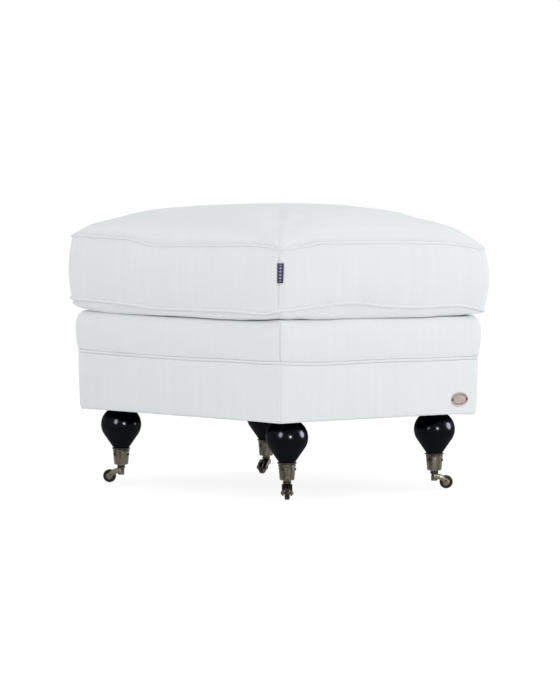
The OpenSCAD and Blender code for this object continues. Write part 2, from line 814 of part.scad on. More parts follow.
// Outline of the cushion in plan: corner arcs, and sides that draw in at their middle
function outline(hx, hy, r, draw, arcs, steps) = [
    for (k = [0:3], j = [0:arcs + steps])
        let (sx = (k == 0 || k == 3) ? 1 : -1, sy = k < 2 ? 1 : -1,
            nx = (k == 1 || k == 0) ? -1 : 1, ny = (k == 0 || k == 3) ? 1 : -1,
            a = 90*k + 90*min(j, arcs)/arcs, out = 90*(k + 1), t = (j - arcs)/(steps + 1),
            from = [sx*(hx - r) + r*cos(a), sy*(hy - r) + r*sin(a)],
            to = [nx*(hx - r) + r*cos(out), ny*(hy - r) + r*sin(out)],
            pull = draw*(1 - (2*t - 1)*(2*t - 1)))
        j <= arcs ? from : from + t*(to - from) - pull*[cos(out), sin(out)]
];

// How full a panel is at a point of the outline drawn in to a share q of its size
function fullness(p, hx, hy, q) =
    let (u = abs(p[0])/hx, v = abs(p[1])/hy, m = max(u, v), a = q*u/m, b = q*v/m)
        pow(max(0, (1 - a*a)*(1 - b*b)), crown_power);

function flat_ring(ring, z) = [for (p = ring) [p[0], p[1], z]];

// A closed skin over rings of equal length, from the lowest to the highest, with a point at each end
module skin(rings, low, high) {
    n = len(rings[0]);
    m = len(rings);
    polyhedron(
        points = concat([for (r = rings, p = r) p], [low, high]),
        faces = concat(
            [for (i = [0:m - 2], j = [0:n - 1]) [i*n + j, (i + 1)*n + j, (i + 1)*n + (j + 1) % n]],
            [for (i = [0:m - 2], j = [0:n - 1]) [i*n + j, (i + 1)*n + (j + 1) % n, i*n + (j + 1) % n]],
            [for (j = [0:n - 1]) [j, (j + 1) % n, m*n]],
            [for (j = [0:n - 1]) [(m - 1)*n + (j + 1) % n, (m - 1)*n + j, m*n + 1]]
        ),
        convexity = 6
    );
}

// The whole cushion: sagging bottom panel, bulging boxing between two seam valleys, crowned top panel
function cushion_outline(out, draw) =
    outline(cush_x + out, cush_y + out, cushion_corner_r + out, draw, arc_steps, side_steps);
seam_ring = cushion_outline(-seam_valley, seam_draw);
lip_ring = cushion_outline(-0.4, seam_draw);
lip_half = (boxing_h - 2*seam_lip)/2;
function panel_ring(q, z, rise, spread) = [for (p = lip_ring)
    [q*p[0], q*p[1], z + rise*min(1, spread*fullness(p, cush_x, cush_y, q))]];

module cushion_form() {
    skin(concat(
        [for (q = sag_rings) panel_ring(q, seam_low_z - seam_lip, seam_lip - sag_h, sag_spread)],
        [flat_ring(seam_ring, seam_low_z)],
        [for (s = boxing_rings)
            flat_ring(cushion_outline(boxing_bulge*(1 - s*s), seam_draw*s*s), boxing_mid_z + s*lip_half)],
        [flat_ring(seam_ring, seam_top_z)],
        [for (q = crown_rings) panel_ring(q, seam_top_z + seam_lip, crown_h - seam_lip, 1)]
    ), [0, 0, cushion_z], [0, 0, seam_top_z + crown_h]);
}

// A plainer form inside the cover, set in by a thickness: what the cover holds
module filling_form(inset) {
    ring = outline(cush_x - inset, cush_y - inset, cushion_corner_r, seam_draw, 2, 3);
    low = seam_low_z + seam_lip + inset - cover_t;
    high = seam_top_z - inset;
    rise = crown_h - seam_lip;
    skin(concat(
        [flat_ring([for (p = ring) 0.8*p], cushion_z + inset)],
        [flat_ring(ring, low), flat_ring(ring, high)],
        [for (q = [0.93, 0.8, 0.6, 0.35])
            [for (p = ring) [q*p[0], q*p[1], high + rise*fullness(p, cush_x, cush_y, q)]]]
    ), [0, 0, cushion_z + inset], [0, 0, high + rise]);
}

module cushion_cover() {
    color("white") difference() {
        cushion_form();
        filling_form(cover_t);
        translate([-groove_l/2, zip_y, boxing_mid_z - groove_w/2])
            cube([groove_l, zip_room + past, groove_w]);
    }
}

module core_block(gap) {
    block(cush_x - cover_t - wadding_t + gap, cush_y - cover_t - wadding_t + gap,
        seam_low_z + core_lift - gap, seam_top_z - core_drop + gap);
}

module cushion_wadding() {
    color("linen") difference() {
        filling_form(cover_t + soft_gap);
        core_block(soft_gap);
    }
}

module cushion_core() {
    color("khaki") core_block(0);
}

// Piping: a closed tube along the cushion's outline
module piping(z) {
    n = 4*(arc_steps + side_steps + 1);
    r = piping_d/2;
    rings = [for (k = [0:piping_sides - 1]) let (a = 360*k/piping_sides)
        flat_ring(cushion_outline(piping_out + r*cos(a), seam_draw), z + r*sin(a))];
    polyhedron(
        points = [for (ring = rings, p = ring) p],
        faces = [for (k = [0:piping_sides - 1], j = [0:n - 1], half = [0, 1])
            let (k1 = (k + 1) % piping_sides, j1 = (j + 1) % n)
                half == 0 ? [k*n + j, k1*n + j, k1*n + j1] : [k*n + j, k1*n + j1, k*n + j1]],
        convexity = 4
    );
}

module cushion_piping_top() {
    color("white") piping(seam_top_z);
}

module cushion_piping_bottom() {
    color("white") piping(seam_low_z);
}

// Zip: tape, coil and a stop at each end, along the back of the boxing
module cushion_zip() {
    color("gainsboro") {
        translate([-zip_length/2, tape_y, boxing_mid_z - tape_w/2]) cube([zip_length, tape_t + tiny, tape_w]);
        translate([-zip_length/2, coil_y, boxing_mid_z - coil_w/2]) cube([zip_length, coil_t, coil_w]);
        for (s = [-1, 1])
            translate([s*(zip_length - stop_l)/2 - stop_l/2, coil_y, boxing_mid_z - coil_w/2 - 0.8])
                cube([stop_l, coil_t + 0.5, coil_w + 1.6]);
    }
}

// Slider: a channel over the coil, with a bail for the pull tab
module zip_slider() {
    room = coil_w/2 + slider_gap;
    color("silver") translate([slider_x, 0, boxing_mid_z]) {
        difference() {
            translate([-slider_l/2, slider_y, -slider_w/2]) cube([slider_l, slider_top - slider_y, slider_w]);
            translate([-slider_l/2 - past, slider_y - past, -room])
                cube([slider_l + 2*past, coil_t + past, 2*room]);
        }
        for (s = [-1, 1]) translate([s*(slider_l/2 - 2) - bail_post/2, slider_top - tiny, -bail_post/2])
            cube([bail_post, bail_y - slider_top + bail_post/2, bail_post]);
        translate([-(slider_l/2 - 2), bail_y, 0]) rotate([0, 90, 0]) cylinder(r = bail_r, h = slider_l - 4);
    }
}

// Pull tab: it hangs from the bail by its eye
module zip_pull() {
    eye_l = slider_l - 4 - bail_post - 0.6;
    color("silver") translate([slider_x, bail_y, boxing_mid_z]) difference() {
        union() {
            translate([-eye_l/2, 0, 0]) rotate([0, 90, 0]) cylinder(r = eye_r, h = eye_l);
            translate([-eye_l/2, -pull_t/2, -eye_r - 2]) cube([eye_l, pull_t, eye_r + 2]);
            translate([-pull_w/2, -pull_t/2, -pull_l]) cube([pull_w, pull_t, pull_l - eye_r - 1]);
        }
        translate([-slider_l, 0, 0]) rotate([0, 90, 0]) cylinder(r = bail_r + run_gap, h = 2*slider_l);
    }
}

// Woven tag at the cushion's near corner, held in its upright seam
module label_tag() {
    z = boxing_mid_z + tag_up;
    out = boxing_bulge + cushion_corner_r + soft_gap;
    color("midnightblue") translate([cush_x - cushion_corner_r, -(cush_y - cushion_corner_r), z])
        rotate([0, 0, tag_turn]) translate([out, -tag_w/2, 0]) cube([tag_t, tag_w, tag_h]);
}

// Oval plate near the back edge of the lower band's right side; X points out of the cloth
module at_badge() {
    translate([half_x - band_lean, half_y - plate_from_back, base_z]) rotate([0, lean_angle, 0])
        translate([tiny, 0, plate_up]) children();
}

function oval(l, h) = [for (k = [0:plate_facets - 1]) let (a = 360*k/plate_facets) [l/2*cos(a), h/2*sin(a)]];

module at_nails() {
    for (s = [-1, 1]) translate([0, s*(plate_l/2 - nail_in), 0]) children();
}

module nail_shanks(gap) {
    at_nails() translate([plate_t - nail_l - gap, 0, 0]) rotate([0, 90, 0])
        cylinder(r = nail_r + gap, h = nail_l + gap + tiny, $fn = 24);
}

module badge() {
    rim = 1.6;
    raised = 0.5;
    color([0.72, 0.5, 0.42]) at_badge() difference() {
        rotate([90, 0, 90]) union() {
            linear_extrude(plate_t) polygon(oval(plate_l, plate_h));
            linear_extrude(plate_t + raised) difference() {
                polygon(oval(plate_l, plate_h));
                polygon(oval(plate_l - 2*rim, plate_h - 2*rim));
            }
        }
        nail_shanks(seat_gap/2);
    }
}

module badge_nails() {
    color([0.6, 0.42, 0.35]) at_badge() {
        nail_shanks(0);
        at_nails() translate([plate_t + tiny, 0, 0]) rotate([0, 90, 0])
            cylinder(r1 = nail_head_r, r2 = nail_head_r - 0.8, h = nail_head_h);
    }
}

rail(true, -1);  // rail_front
rail(true, 1);  // rail_back
rail(false, -1);  // rail_left
rail(false, 1);  // rail_right
corner_blocks();
corner_block_screws();
leg_bolts();
leg_t_nuts();
webbing_long();
webbing_cross();
webbing_tacks();
hessian();
deck_pad();
edge_roll();
deck_cover();
upper_band_cover();
lower_band_cover();
base_welt();
dust_cover();
dust_cover_staples();
cup_screws();
castor_washers();
cushion_core();
cushion_wadding();
cushion_cover();
cushion_piping_top();
cushion_piping_bottom();
cushion_zip();
zip_slider();
zip_pull();
label_tag();
badge();
badge_nails();
for (i = [0:3]) {
    leg(i);
    castor_cup(i);
    swivel_pin(i);
    castor_horn(i);
    castor_axle(i);
    castor_wheel(i);
}
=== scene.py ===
"""A covered footstool with a loose box cushion, on four turned legs with brass cup castors.

Meshes are built in millimetres and turned to metres when they are finished.
"""
from __future__ import annotations

import logging
import math
from dataclasses import dataclass, field
from enum import Enum
from typing import Callable, Sequence

import bmesh
import bpy
from mathutils import Matrix, Vector, kdtree, noise


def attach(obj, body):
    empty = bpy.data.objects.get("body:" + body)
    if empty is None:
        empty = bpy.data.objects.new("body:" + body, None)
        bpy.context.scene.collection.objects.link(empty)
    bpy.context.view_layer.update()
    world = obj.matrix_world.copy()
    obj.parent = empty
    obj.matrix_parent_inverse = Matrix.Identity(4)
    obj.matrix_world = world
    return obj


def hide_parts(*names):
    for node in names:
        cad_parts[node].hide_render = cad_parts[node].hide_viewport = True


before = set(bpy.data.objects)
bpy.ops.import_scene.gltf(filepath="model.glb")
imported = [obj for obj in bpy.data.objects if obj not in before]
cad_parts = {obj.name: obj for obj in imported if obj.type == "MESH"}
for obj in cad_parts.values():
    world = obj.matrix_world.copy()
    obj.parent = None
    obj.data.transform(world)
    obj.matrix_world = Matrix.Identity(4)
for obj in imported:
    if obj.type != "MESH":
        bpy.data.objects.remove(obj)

LOG = logging.getLogger("footstool")
MM = 0.001
CORNERS = ("front_left", "front_right", "back_right", "back_left")
CORNER_SIGNS = ((-1, -1), (1, -1), (1, 1), (-1, 1))

# In degrees from +X, corner by corner: where the castors head at rest, and where each cup's first screw lies.
HEADINGS = (-129.6, -39.6, 50.4, -59.6)
SCREW_TURNS = (-96.6, -72.6, -89.6, -87.6)

# Short names for types.
Material = bpy.types.Material
Object = bpy.types.Object
Socket = bpy.types.NodeSocket
Shape = bmesh.types.BMesh
Vert = bmesh.types.BMVert
Edge = bmesh.types.BMEdge
Face = bmesh.types.BMFace
Colour = tuple[float, float, float, float]
Pair = tuple[float, float]
Triple = tuple[float, float, float]
Points = Sequence[Pair]
Rings = Sequence[Sequence[Vector]]


# ---- Finishes

def paint(red: int, green: int, blue: int) -> Colour:
    """Turns a colour of 0 to 255 a channel into the linear colour that a shader takes."""
    def linear(part: float) -> float:
        """One channel."""
        return part / 12.92 if part <= 0.04045 else ((part + 0.055) / 1.055) ** 2.4

    return (*(linear(part / 255) for part in (red, green, blue)), 1.0)


class Coords(Enum):
    """What a pattern follows: the piece's own space, or its cloth map."""

    OBJECT = "Object"
    CLOTH = "UV"


class Graph:
    """A node tree, with short calls that add nodes and join them."""

    def __init__(self, tree: bpy.types.NodeTree) -> None:
        """Starts with a tree."""
        self.tree = tree

    def put(self, node: bpy.types.Node, key: str | int, value: object) -> None:
        """Joins a socket to an input, or sets the input to a number or colour."""
        if isinstance(value, Socket):
            self.tree.links.new(value, node.inputs[key])
        else:
            node.inputs[key].default_value = value

    def add(self, kind: str, sockets: dict[str | int, object], **settings: object) -> bpy.types.Node:
        """Adds a node.

        Args:
            kind: the node's type, without its ShaderNode.
            sockets: a value or a socket for each input.
            settings: the node's own options.

        Returns:
            The node.
        """
        node = self.tree.nodes.new("ShaderNode" + kind)
        for key, value in settings.items():
            setattr(node, key, value)
        for key, value in sockets.items():
            self.put(node, key, value)
        return node

    def space(self, coords: Coords, stretch: Sequence[float] = (1, 1, 1)) -> Socket:
        """Returns the coordinates, stretched by a factor an axis."""
        source = self.tree.nodes.new("ShaderNodeTexCoord").outputs[coords.value]
        return self.add("Mapping", {"Vector": source, "Scale": stretch}).outputs[0]

    def noise(self, space: Socket, scale: float, detail: float = 3, roughness: float = 0.5) -> Socket:
        """Returns the grey of a noise."""
        return self.add("TexNoise", {"Vector": space, "Scale": scale, "Detail": detail,
                                     "Roughness": roughness}).outputs[0]

    def ribs(self, space: Socket, pitch: float, axis: str, wander: float = 0.0) -> Socket:
        """Returns smooth ridges a pitch apart, in metres, across an axis."""
        return self.add("TexWave", {"Vector": space, "Scale": 0.31416 / pitch, "Distortion": wander,
                                    "Detail": 1.0}, bands_direction=axis).outputs[1]

    def sum(self, kind: str, *values: object) -> Socket:
        """Returns the result of a Math node."""
        return self.add("Math", dict(enumerate(values)), operation=kind).outputs[0]

    def ramp(self, value: Socket, low: float, high: float, first: object, second: object) -> Socket:
        """Returns a colour that goes from the first to the second as a value goes from low to high."""
        mix = self.add("Mix", {0: self.level(value, low, high, 0.0, 1.0)}, data_type="RGBA")
        for place, colour in zip((i for i, s in enumerate(mix.inputs) if s.type == "RGBA"), (first, second)):
            self.put(mix, place, colour)
        return next(s for s in mix.outputs if s.type == "RGBA")

    def level(self, value: Socket, low: float, high: float, first: float, second: float) -> Socket:
        """Returns a number that goes from the first to the second as a value goes from low to high."""
        return self.add("MapRange", {"Value": value, "From Min": low, "From Max": high, "To Min": first,
                                     "To Max": second}).outputs[0]

    def bump(self, height: Socket, depth: float) -> Socket:
        """Returns the normal of a relief whose full height is a depth in metres."""
        return self.add("Bump", {"Height": height, "Distance": depth, "Strength": 1.0}).outputs[0]

    def seen(self, plain: float, shown: float) -> Socket:
        """Returns one level for light and another for what the camera, gloss and glass see."""
        path = self.add("LightPath", {})
        total = path.outputs["Is Camera Ray"]
        for name in ("Is Glossy Ray", "Is Transmission Ray"):
            total = self.sum("MAXIMUM", total, path.outputs[name])
        return self.level(total, 0.0, 1.0, plain, shown)


class Surface(Graph):
    """The node tree of one material, which holds its shader."""

    def __init__(self, name: str) -> None:
        """Starts a material that holds a lone shader."""
        self.material = bpy.data.materials.new(name)
        self.material.use_nodes = True
        super().__init__(self.material.node_tree)
        self.tree.nodes.clear()
        self.shader = self.add("BsdfPrincipled", {})
        self.add("OutputMaterial", {0: self.shader.outputs[0]})

    def finish(self, **sockets: object) -> Material:
        """Sets the shader's inputs, with underscores for spaces, and returns the material."""
        for key, value in sockets.items():
            self.put(self.shader, key.replace("_", " "), value)
        return self.material


@dataclass(frozen=True)
class Finish:
    """What every finish has: its name, and the two colours that its pattern moves between."""

    name: str
    colour: Colour
    shade: Colour


@dataclass(frozen=True)
class Cloth(Finish):
    """A woven cloth: two sets of threads, slubs along the warp, a soft sheen."""

    thread: float = 1.1
    depth: float = 0.10
    slub: float = 0.06
    sheen: float = 0.12
    coords: Coords = Coords.CLOTH

    def build(self) -> Material:
        """Makes the material."""
        g = Surface(self.name)
        space = g.space(self.coords)
        pitch = self.thread * MM
        warp = g.ribs(space, pitch, "X", 0.6)
        weft = g.ribs(space, pitch * 0.9, "Y", 0.6)
        weave = g.sum("MAXIMUM", warp, weft)
        fine = g.noise(g.space(self.coords, (420, 4, 420)), 1.0, 2)
        wide = g.noise(g.space(self.coords, (110, 1.5, 110)), 1.0, 1)
        slub = g.sum("MULTIPLY", g.sum("ADD", fine, wide), 0.5)
        fold = g.noise(space, 22, 3)
        relief = g.sum("MULTIPLY_ADD", slub, 0.5, weave)
        tint = g.ramp(slub, 0.5 - self.slub * 5, 0.5 + self.slub * 5, self.shade, self.colour)
        lit = g.ramp(weave, 0.0, 1.0, self.shade, tint)
        blend = g.ramp(fold, 0.3, 0.7, tint, lit)
        return g.finish(Base_Color=blend, Roughness=0.9, Sheen_Weight=self.sheen, Sheen_Roughness=0.5,
                        Specular_IOR_Level=0.2, Normal=g.bump(relief, self.depth * MM))


@dataclass(frozen=True)
class Ribbon(Finish):
    """A woven ribbon with a row of small diamonds; its map runs from 0 to 1 each way."""

    figure: Colour
    diamonds: float = 6.0
    size: Triple = (0.0135, 0.031, 1)

    def build(self) -> Material:
        """Makes the material."""
        g = Surface(self.name)
        parts = g.add("SeparateXYZ", {0: g.space(Coords.CLOTH)})
        across, up = parts.outputs[0], parts.outputs[1]
        flat = g.space(Coords.CLOTH, self.size)
        weave = g.sum("MAXIMUM", g.ribs(flat, 0.0006, "Y"), g.ribs(flat, 0.0005, "X"))
        off_middle = g.sum("ABSOLUTE", g.sum("SUBTRACT", across, 0.66))
        row = g.sum("FRACT", g.sum("MULTIPLY", up, self.diamonds))
        along = g.sum("ABSOLUTE", g.sum("SUBTRACT", row, 0.5))
        diamond = g.sum("LESS_THAN", g.sum("ADD", g.sum("MULTIPLY", off_middle, 2.6), along), 0.36)
        inside = g.sum("MULTIPLY", g.sum("GREATER_THAN", up, 0.08), g.sum("LESS_THAN", up, 0.92))
        figure = g.sum("MULTIPLY", diamond, inside)
        ground = g.ramp(weave, 0.0, 1.0, self.shade, self.colour)
        return g.finish(Base_Color=g.ramp(figure, 0.0, 1.0, ground, self.figure), Roughness=0.75,
                        Sheen_Weight=0.2, Specular_IOR_Level=0.3, Normal=g.bump(weave, 0.00008))


@dataclass(frozen=True)
class Lacquer(Finish):
    """Deep gloss lacquer over turned wood."""

    gloss: float = 0.12

    def build(self) -> Material:
        """Makes the material."""
        g = Surface(self.name)
        space = g.space(Coords.OBJECT)
        haze = g.noise(space, 60, 4)
        orange_peel = g.noise(space, 260, 2)
        return g.finish(Base_Color=g.ramp(haze, 0.35, 0.7, self.colour, self.shade),
                        Roughness=g.level(haze, 0.3, 0.7, 0.3, 0.42), Specular_IOR_Level=0.0,
                        Coat_Weight=self.gloss, Coat_Roughness=0.17, Coat_Normal=g.bump(orange_peel, 0.000004))


@dataclass(frozen=True)
class Metal(Finish):
    """A metal with brushed streaks, tarnish and edges that are worn bright."""

    roughness: float = 0.35
    streak: Triple = (1.0, 1.0, 0.12)
    grain: float = 420.0
    patina: float = 0.5
    worn_gain: float = 1.5

    def build(self) -> Material:
        """Makes the material."""
        g = Surface(self.name)
        streaks = g.noise(g.space(Coords.OBJECT, self.streak), self.grain, 3, 0.6)
        spots = g.noise(g.space(Coords.OBJECT), 240, 5, 0.65)
        worn = g.level(g.add("NewGeometry", {}).outputs["Pointiness"], 0.5, 0.58, 0.0, 1.0)
        dull = g.sum("MULTIPLY_ADD", spots, 0.3, g.sum("MULTIPLY", streaks, 0.7))
        body = g.ramp(dull, 0.5 - 0.16 * self.patina, 0.5 + 0.16 * self.patina, self.shade, self.colour)
        bright = tuple(min(1.0, c * self.worn_gain) for c in self.colour[:3]) + (1.0,)
        return g.finish(Base_Color=g.ramp(worn, 0.0, 1.0, body, bright), Metallic=1.0,
                        Roughness=g.level(dull, 0.35, 0.65, self.roughness + 0.12, self.roughness - 0.05),
                        Normal=g.bump(streaks, 0.00004))


@dataclass(frozen=True)
class Wood(Finish):
    """Planed hardwood, with grain along one axis of the piece."""

    along: Triple = (0.06, 1.0, 1.0)

    def build(self) -> Material:
        """Makes the material."""
        g = Surface(self.name)
        rings = g.add("TexWave", {"Vector": g.space(Coords.OBJECT, self.along), "Scale": 48, "Distortion": 5,
                                  "Detail": 3, "Detail Scale": 1.6}, bands_direction="DIAGONAL").outputs[1]
        pores = g.noise(g.space(Coords.OBJECT, tuple(c * 8 for c in self.along)), 150, 4)
        both = g.sum("MULTIPLY", rings, pores)
        return g.finish(Base_Color=g.ramp(both, 0.05, 0.5, self.shade, self.colour), Roughness=0.62,
                        Normal=g.bump(pores, 0.0001))


@dataclass(frozen=True)
class Fibre(Finish):
    """Foam, wadding or felt: a fine open surface with soft mottling."""

    cell: float = 700.0
    depth: float = 0.3

    def build(self) -> Material:
        """Makes the material."""
        g = Surface(self.name)
        space = g.space(Coords.OBJECT)
        cells = g.add("TexVoronoi", {"Vector": space, "Scale": self.cell}).outputs["Distance"]
        mottle = g.noise(space, 30, 4)
        mix = g.sum("MULTIPLY", cells, mottle)
        return g.finish(Base_Color=g.ramp(mix, 0.05, 0.4, self.shade, self.colour), Roughness=0.95,
                        Specular_IOR_Level=0.15, Normal=g.bump(cells, self.depth * MM))


FINISHES = (
    Cloth("cover_cloth", paint(240, 244, 245), paint(233, 237, 238)),
    Cloth("deck_cloth", paint(238, 238, 234), paint(224, 224, 219), thread=1.6, depth=0.14, slub=0.1),
    Cloth("dust_cloth", paint(34, 34, 36), paint(20, 20, 22), thread=2.4, depth=0.12, sheen=0.05,
          coords=Coords.OBJECT),
    Cloth("hessian_cloth", paint(176, 146, 104), paint(104, 80, 50), thread=2.8, depth=0.5, slub=0.16),
    Cloth("jute_webbing", paint(164, 128, 84), paint(92, 66, 40), thread=2.0, depth=0.4, slub=0.16),
    Cloth("zip_tape", paint(236, 236, 233), paint(214, 214, 210), thread=0.8, depth=0.12),
    Ribbon("tag_weave", paint(66, 69, 98), paint(40, 43, 68), paint(160, 162, 188)),
    Fibre("seat_foam", paint(240, 230, 190), paint(214, 198, 150)),
    Fibre("fibre_wadding", paint(244, 244, 240), paint(222, 222, 216), cell=240.0, depth=1.2),
    Wood("frame_hardwood", paint(206, 172, 126), paint(181, 143, 97)),
    Wood("frame_hardwood_cross", paint(206, 172, 126), paint(181, 143, 97), (1.0, 0.06, 1.0)),
    Lacquer("leg_lacquer", (0.0010, 0.0014, 0.0028, 1.0), (0.0018, 0.00252, 0.00504, 1.0)),
    Metal("antique_brass", paint(115, 110, 98), paint(34, 32, 28), 0.26, (1.0, 1.0, 0.04), 230.0, 0.7, 1.1),
    # dark_bronze also serves as painted shade and reflection: on the cup's rim and the line under its bead, on
    # the horn's collar and arm edges, and on the cup screws' heads.
    Metal("dark_bronze", paint(58, 55, 48), paint(22, 21, 18), 0.36, (1.0, 1.0, 0.3), 300.0),
    # castor_wheel_metal also serves as painted shade on the cup's band between bead and rim, under the leg's
    # bulb.
    Metal("castor_wheel_metal", paint(84, 80, 70), paint(34, 32, 28), 0.3, (1, 1, 1), 300.0),
    Metal("castor_tyre", paint(50, 48, 44), paint(20, 19, 17), 0.24, (1, 1, 1), 300.0),
    Metal("castor_steel", paint(74, 72, 68), paint(36, 34, 31), 0.4),
    Metal("zinc_steel", paint(206, 206, 202), paint(150, 150, 148), 0.34, (1, 1, 1)),
    Metal("blued_steel", paint(70, 72, 84), paint(36, 36, 44), 0.4, (1, 1, 1)),
    Metal("nickel", paint(214, 211, 204), paint(176, 172, 164), 0.22, (1, 1, 1)),
    Metal("rose_plate", paint(190, 176, 171), paint(156, 140, 135), 0.38, (1.0, 0.1, 1.0), 500.0, 1.0, 1.02),
    # rose_plate_dark is painted shade on the plate's outer edge and in the line cut in its face.
    Metal("rose_plate_dark", paint(104, 92, 89), paint(70, 60, 57), 0.45, (1, 1, 1)),
)


# ---- Mesh helpers

def lathe(profile: Points, steps: int) -> Shape:
    """Spins a profile of (radius, height) points about Z.

    Args:
        profile: the points, from one end to the other; a radius of 0 closes an end.
        steps: how many steps go round.

    Returns:
        The turned shape, closed if its ends are.
    """
    bm = bmesh.new()
    verts = [bm.verts.new((r, 0, z)) for r, z in profile]
    edges = [bm.edges.new(pair) for pair in zip(verts, verts[1:])]
    bmesh.ops.spin(bm, geom=verts + edges, cent=(0, 0, 0), axis=(0, 0, 1), angle=math.tau, steps=steps,
                   use_merge=True, use_duplicate=False)
    bmesh.ops.remove_doubles(bm, verts=bm.verts, dist=0.0005)
    bmesh.ops.recalc_face_normals(bm, faces=bm.faces)
    return bm


def bar(size: Sequence[float], middle: Sequence[float], round_by: float, segments: int) -> Shape:
    """A block with softened edges.

    Args:
        size: its three sides.
        middle: its centre.
        round_by: how far its edges are rounded.
        segments: the steps of that rounding.

    Returns:
        The block.
    """
    bm = bmesh.new()
    bmesh.ops.create_cube(bm, size=1.0)
    bmesh.ops.scale(bm, vec=size, verts=bm.verts)
    bmesh.ops.translate(bm, vec=middle, verts=bm.verts)
    bmesh.ops.bevel(bm, geom=bm.edges[:], offset=round_by, segments=segments, profile=0.5, affect="EDGES",
                    material=-1)
    return bm


def join(parts: Sequence[Shape]) -> Shape:
    """Puts several shapes into the first, and frees the others."""
    whole = parts[0]
    for part in parts[1:]:
        spare = bpy.data.meshes.new("spare")
        part.to_mesh(spare)
        whole.from_mesh(spare)
        bpy.data.meshes.remove(spare)
        part.free()
    return whole


def placed(bm: Shape, matrix: Matrix) -> Shape:
    """Moves a whole shape."""
    bmesh.ops.transform(bm, matrix=matrix, verts=bm.verts)
    return bm


def shift(x: float = 0.0, y: float = 0.0, z: float = 0.0) -> Matrix:
    """Returns a move."""
    return Matrix.Translation((x, y, z))


def turn(degrees: float, axis: str = "Z") -> Matrix:
    """Returns a turn about an axis through the origin."""
    return Matrix.Rotation(math.radians(degrees), 4, axis)


def stand(name: str, data: bpy.types.ID) -> Object:
    """Puts a mesh, lamp or camera in the scene."""
    thing = bpy.data.objects.new(name, data)
    bpy.context.scene.collection.objects.link(thing)
    return thing


def copied(node: str) -> Shape:
    """A merged copy of a CAD node's mesh, in millimetres, with its flat faces whole again."""
    bm = bmesh.new()
    bm.from_mesh(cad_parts[node].data)
    bmesh.ops.scale(bm, vec=(1 / MM, 1 / MM, 1 / MM), verts=bm.verts)
    bmesh.ops.remove_doubles(bm, verts=bm.verts, dist=0.002)
    bmesh.ops.dissolve_limit(bm, angle_limit=math.radians(0.5), verts=bm.verts, edges=bm.edges)
    return bm


def cut_grid(bm: Shape, pitch: float) -> None:
    """Cuts a shape along a level grid, so that it can hang or be mapped."""
    for axis in (0, 1):
        reach = max(abs(vert.co[axis]) for vert in bm.verts)
        count = int(reach / pitch)
        for step in range(-count, count + 1):
            where, normal = [0.0, 0.0, 0.0], [0.0, 0.0, 0.0]
            where[axis], normal[axis] = step * pitch, 1.0
            bmesh.ops.bisect_plane(bm, geom=bm.verts[:] + bm.edges[:] + bm.faces[:], plane_co=where,
                                   plane_no=normal)
    bmesh.ops.triangulate(bm, faces=[face for face in bm.faces if len(face.verts) > 4])
    bmesh.ops.recalc_face_normals(bm, faces=bm.faces)


def map_flat(bm: Shape, up: int = 1) -> None:
    """Lays a cloth map as seen along an axis: from above, or from behind where up is 2."""
    layer = bm.loops.layers.uv.new("cloth")
    for face in bm.faces:
        for loop in face.loops:
            loop[layer].uv = (loop.vert.co.x * MM, loop.vert.co[up] * MM)


def grow(bm: Shape, edges: Sequence[Edge]) -> tuple[list[Vert], list[Edge]]:
    """Grows a row of faces from a ring of edges, and returns the new ring's points and edges."""
    grown = bmesh.ops.extrude_edge_only(bm, edges=edges)["geom"]
    verts = [g for g in grown if isinstance(g, Vert)]
    ring = set(verts)
    return verts, [g for g in grown if isinstance(g, Edge) and set(g.verts) <= ring]


def slotted_head(radius: float, dome: float, length: float) -> Shape:
    """A screw along Z, its head's foot at 0: shank below, domed head above with a slot.

    Args:
        radius: the head's radius.
        dome: its height.
        length: the shank's length.

    Returns:
        The screw.
    """
    bm = bmesh.new()

    def top() -> list[Face]:
        """The faces of the head's flat top."""
        return [face for face in bm.faces if face.calc_center_median().z > dome - 0.01]

    bmesh.ops.create_circle(bm, cap_ends=True, radius=radius * 0.62, segments=28)
    bmesh.ops.translate(bm, vec=(0, 0, dome), verts=bm.verts)
    edges = [edge for edge in bm.edges if edge.is_boundary]
    for wide, level in ((0.82, 0.84 * dome), (0.95, 0.5 * dome), (1.0, 0.1), (0.98, 0.0), (0.55, 0.0),
                        (0.55, 0.6 - length), (0.2, -length)):
        verts, edges = grow(bm, edges)
        for vert in verts:
            flat = Vector((vert.co.x, vert.co.y)).normalized() * radius * wide
            vert.co = (flat.x, flat.y, level)
    bmesh.ops.contextual_create(bm, geom=edges)
    slot = 0.28
    for side in (-slot, slot):
        faces = top()
        rim = {edge for face in faces for edge in face.edges} | {vert for face in faces for vert in face.verts}
        bmesh.ops.bisect_plane(bm, geom=faces + list(rim), plane_co=(side, 0, 0), plane_no=(1, 0, 0))
    strip = [face for face in top() if abs(face.calc_center_median().x) < slot]
    sunk = bmesh.ops.extrude_face_region(bm, geom=strip)["geom"]
    bmesh.ops.translate(bm, vec=(0, 0, -0.55), verts=[g for g in sunk if isinstance(g, Vert)])
    bmesh.ops.delete(bm, geom=strip, context="FACES_ONLY")
    bmesh.ops.recalc_face_normals(bm, faces=bm.faces)
    return bm


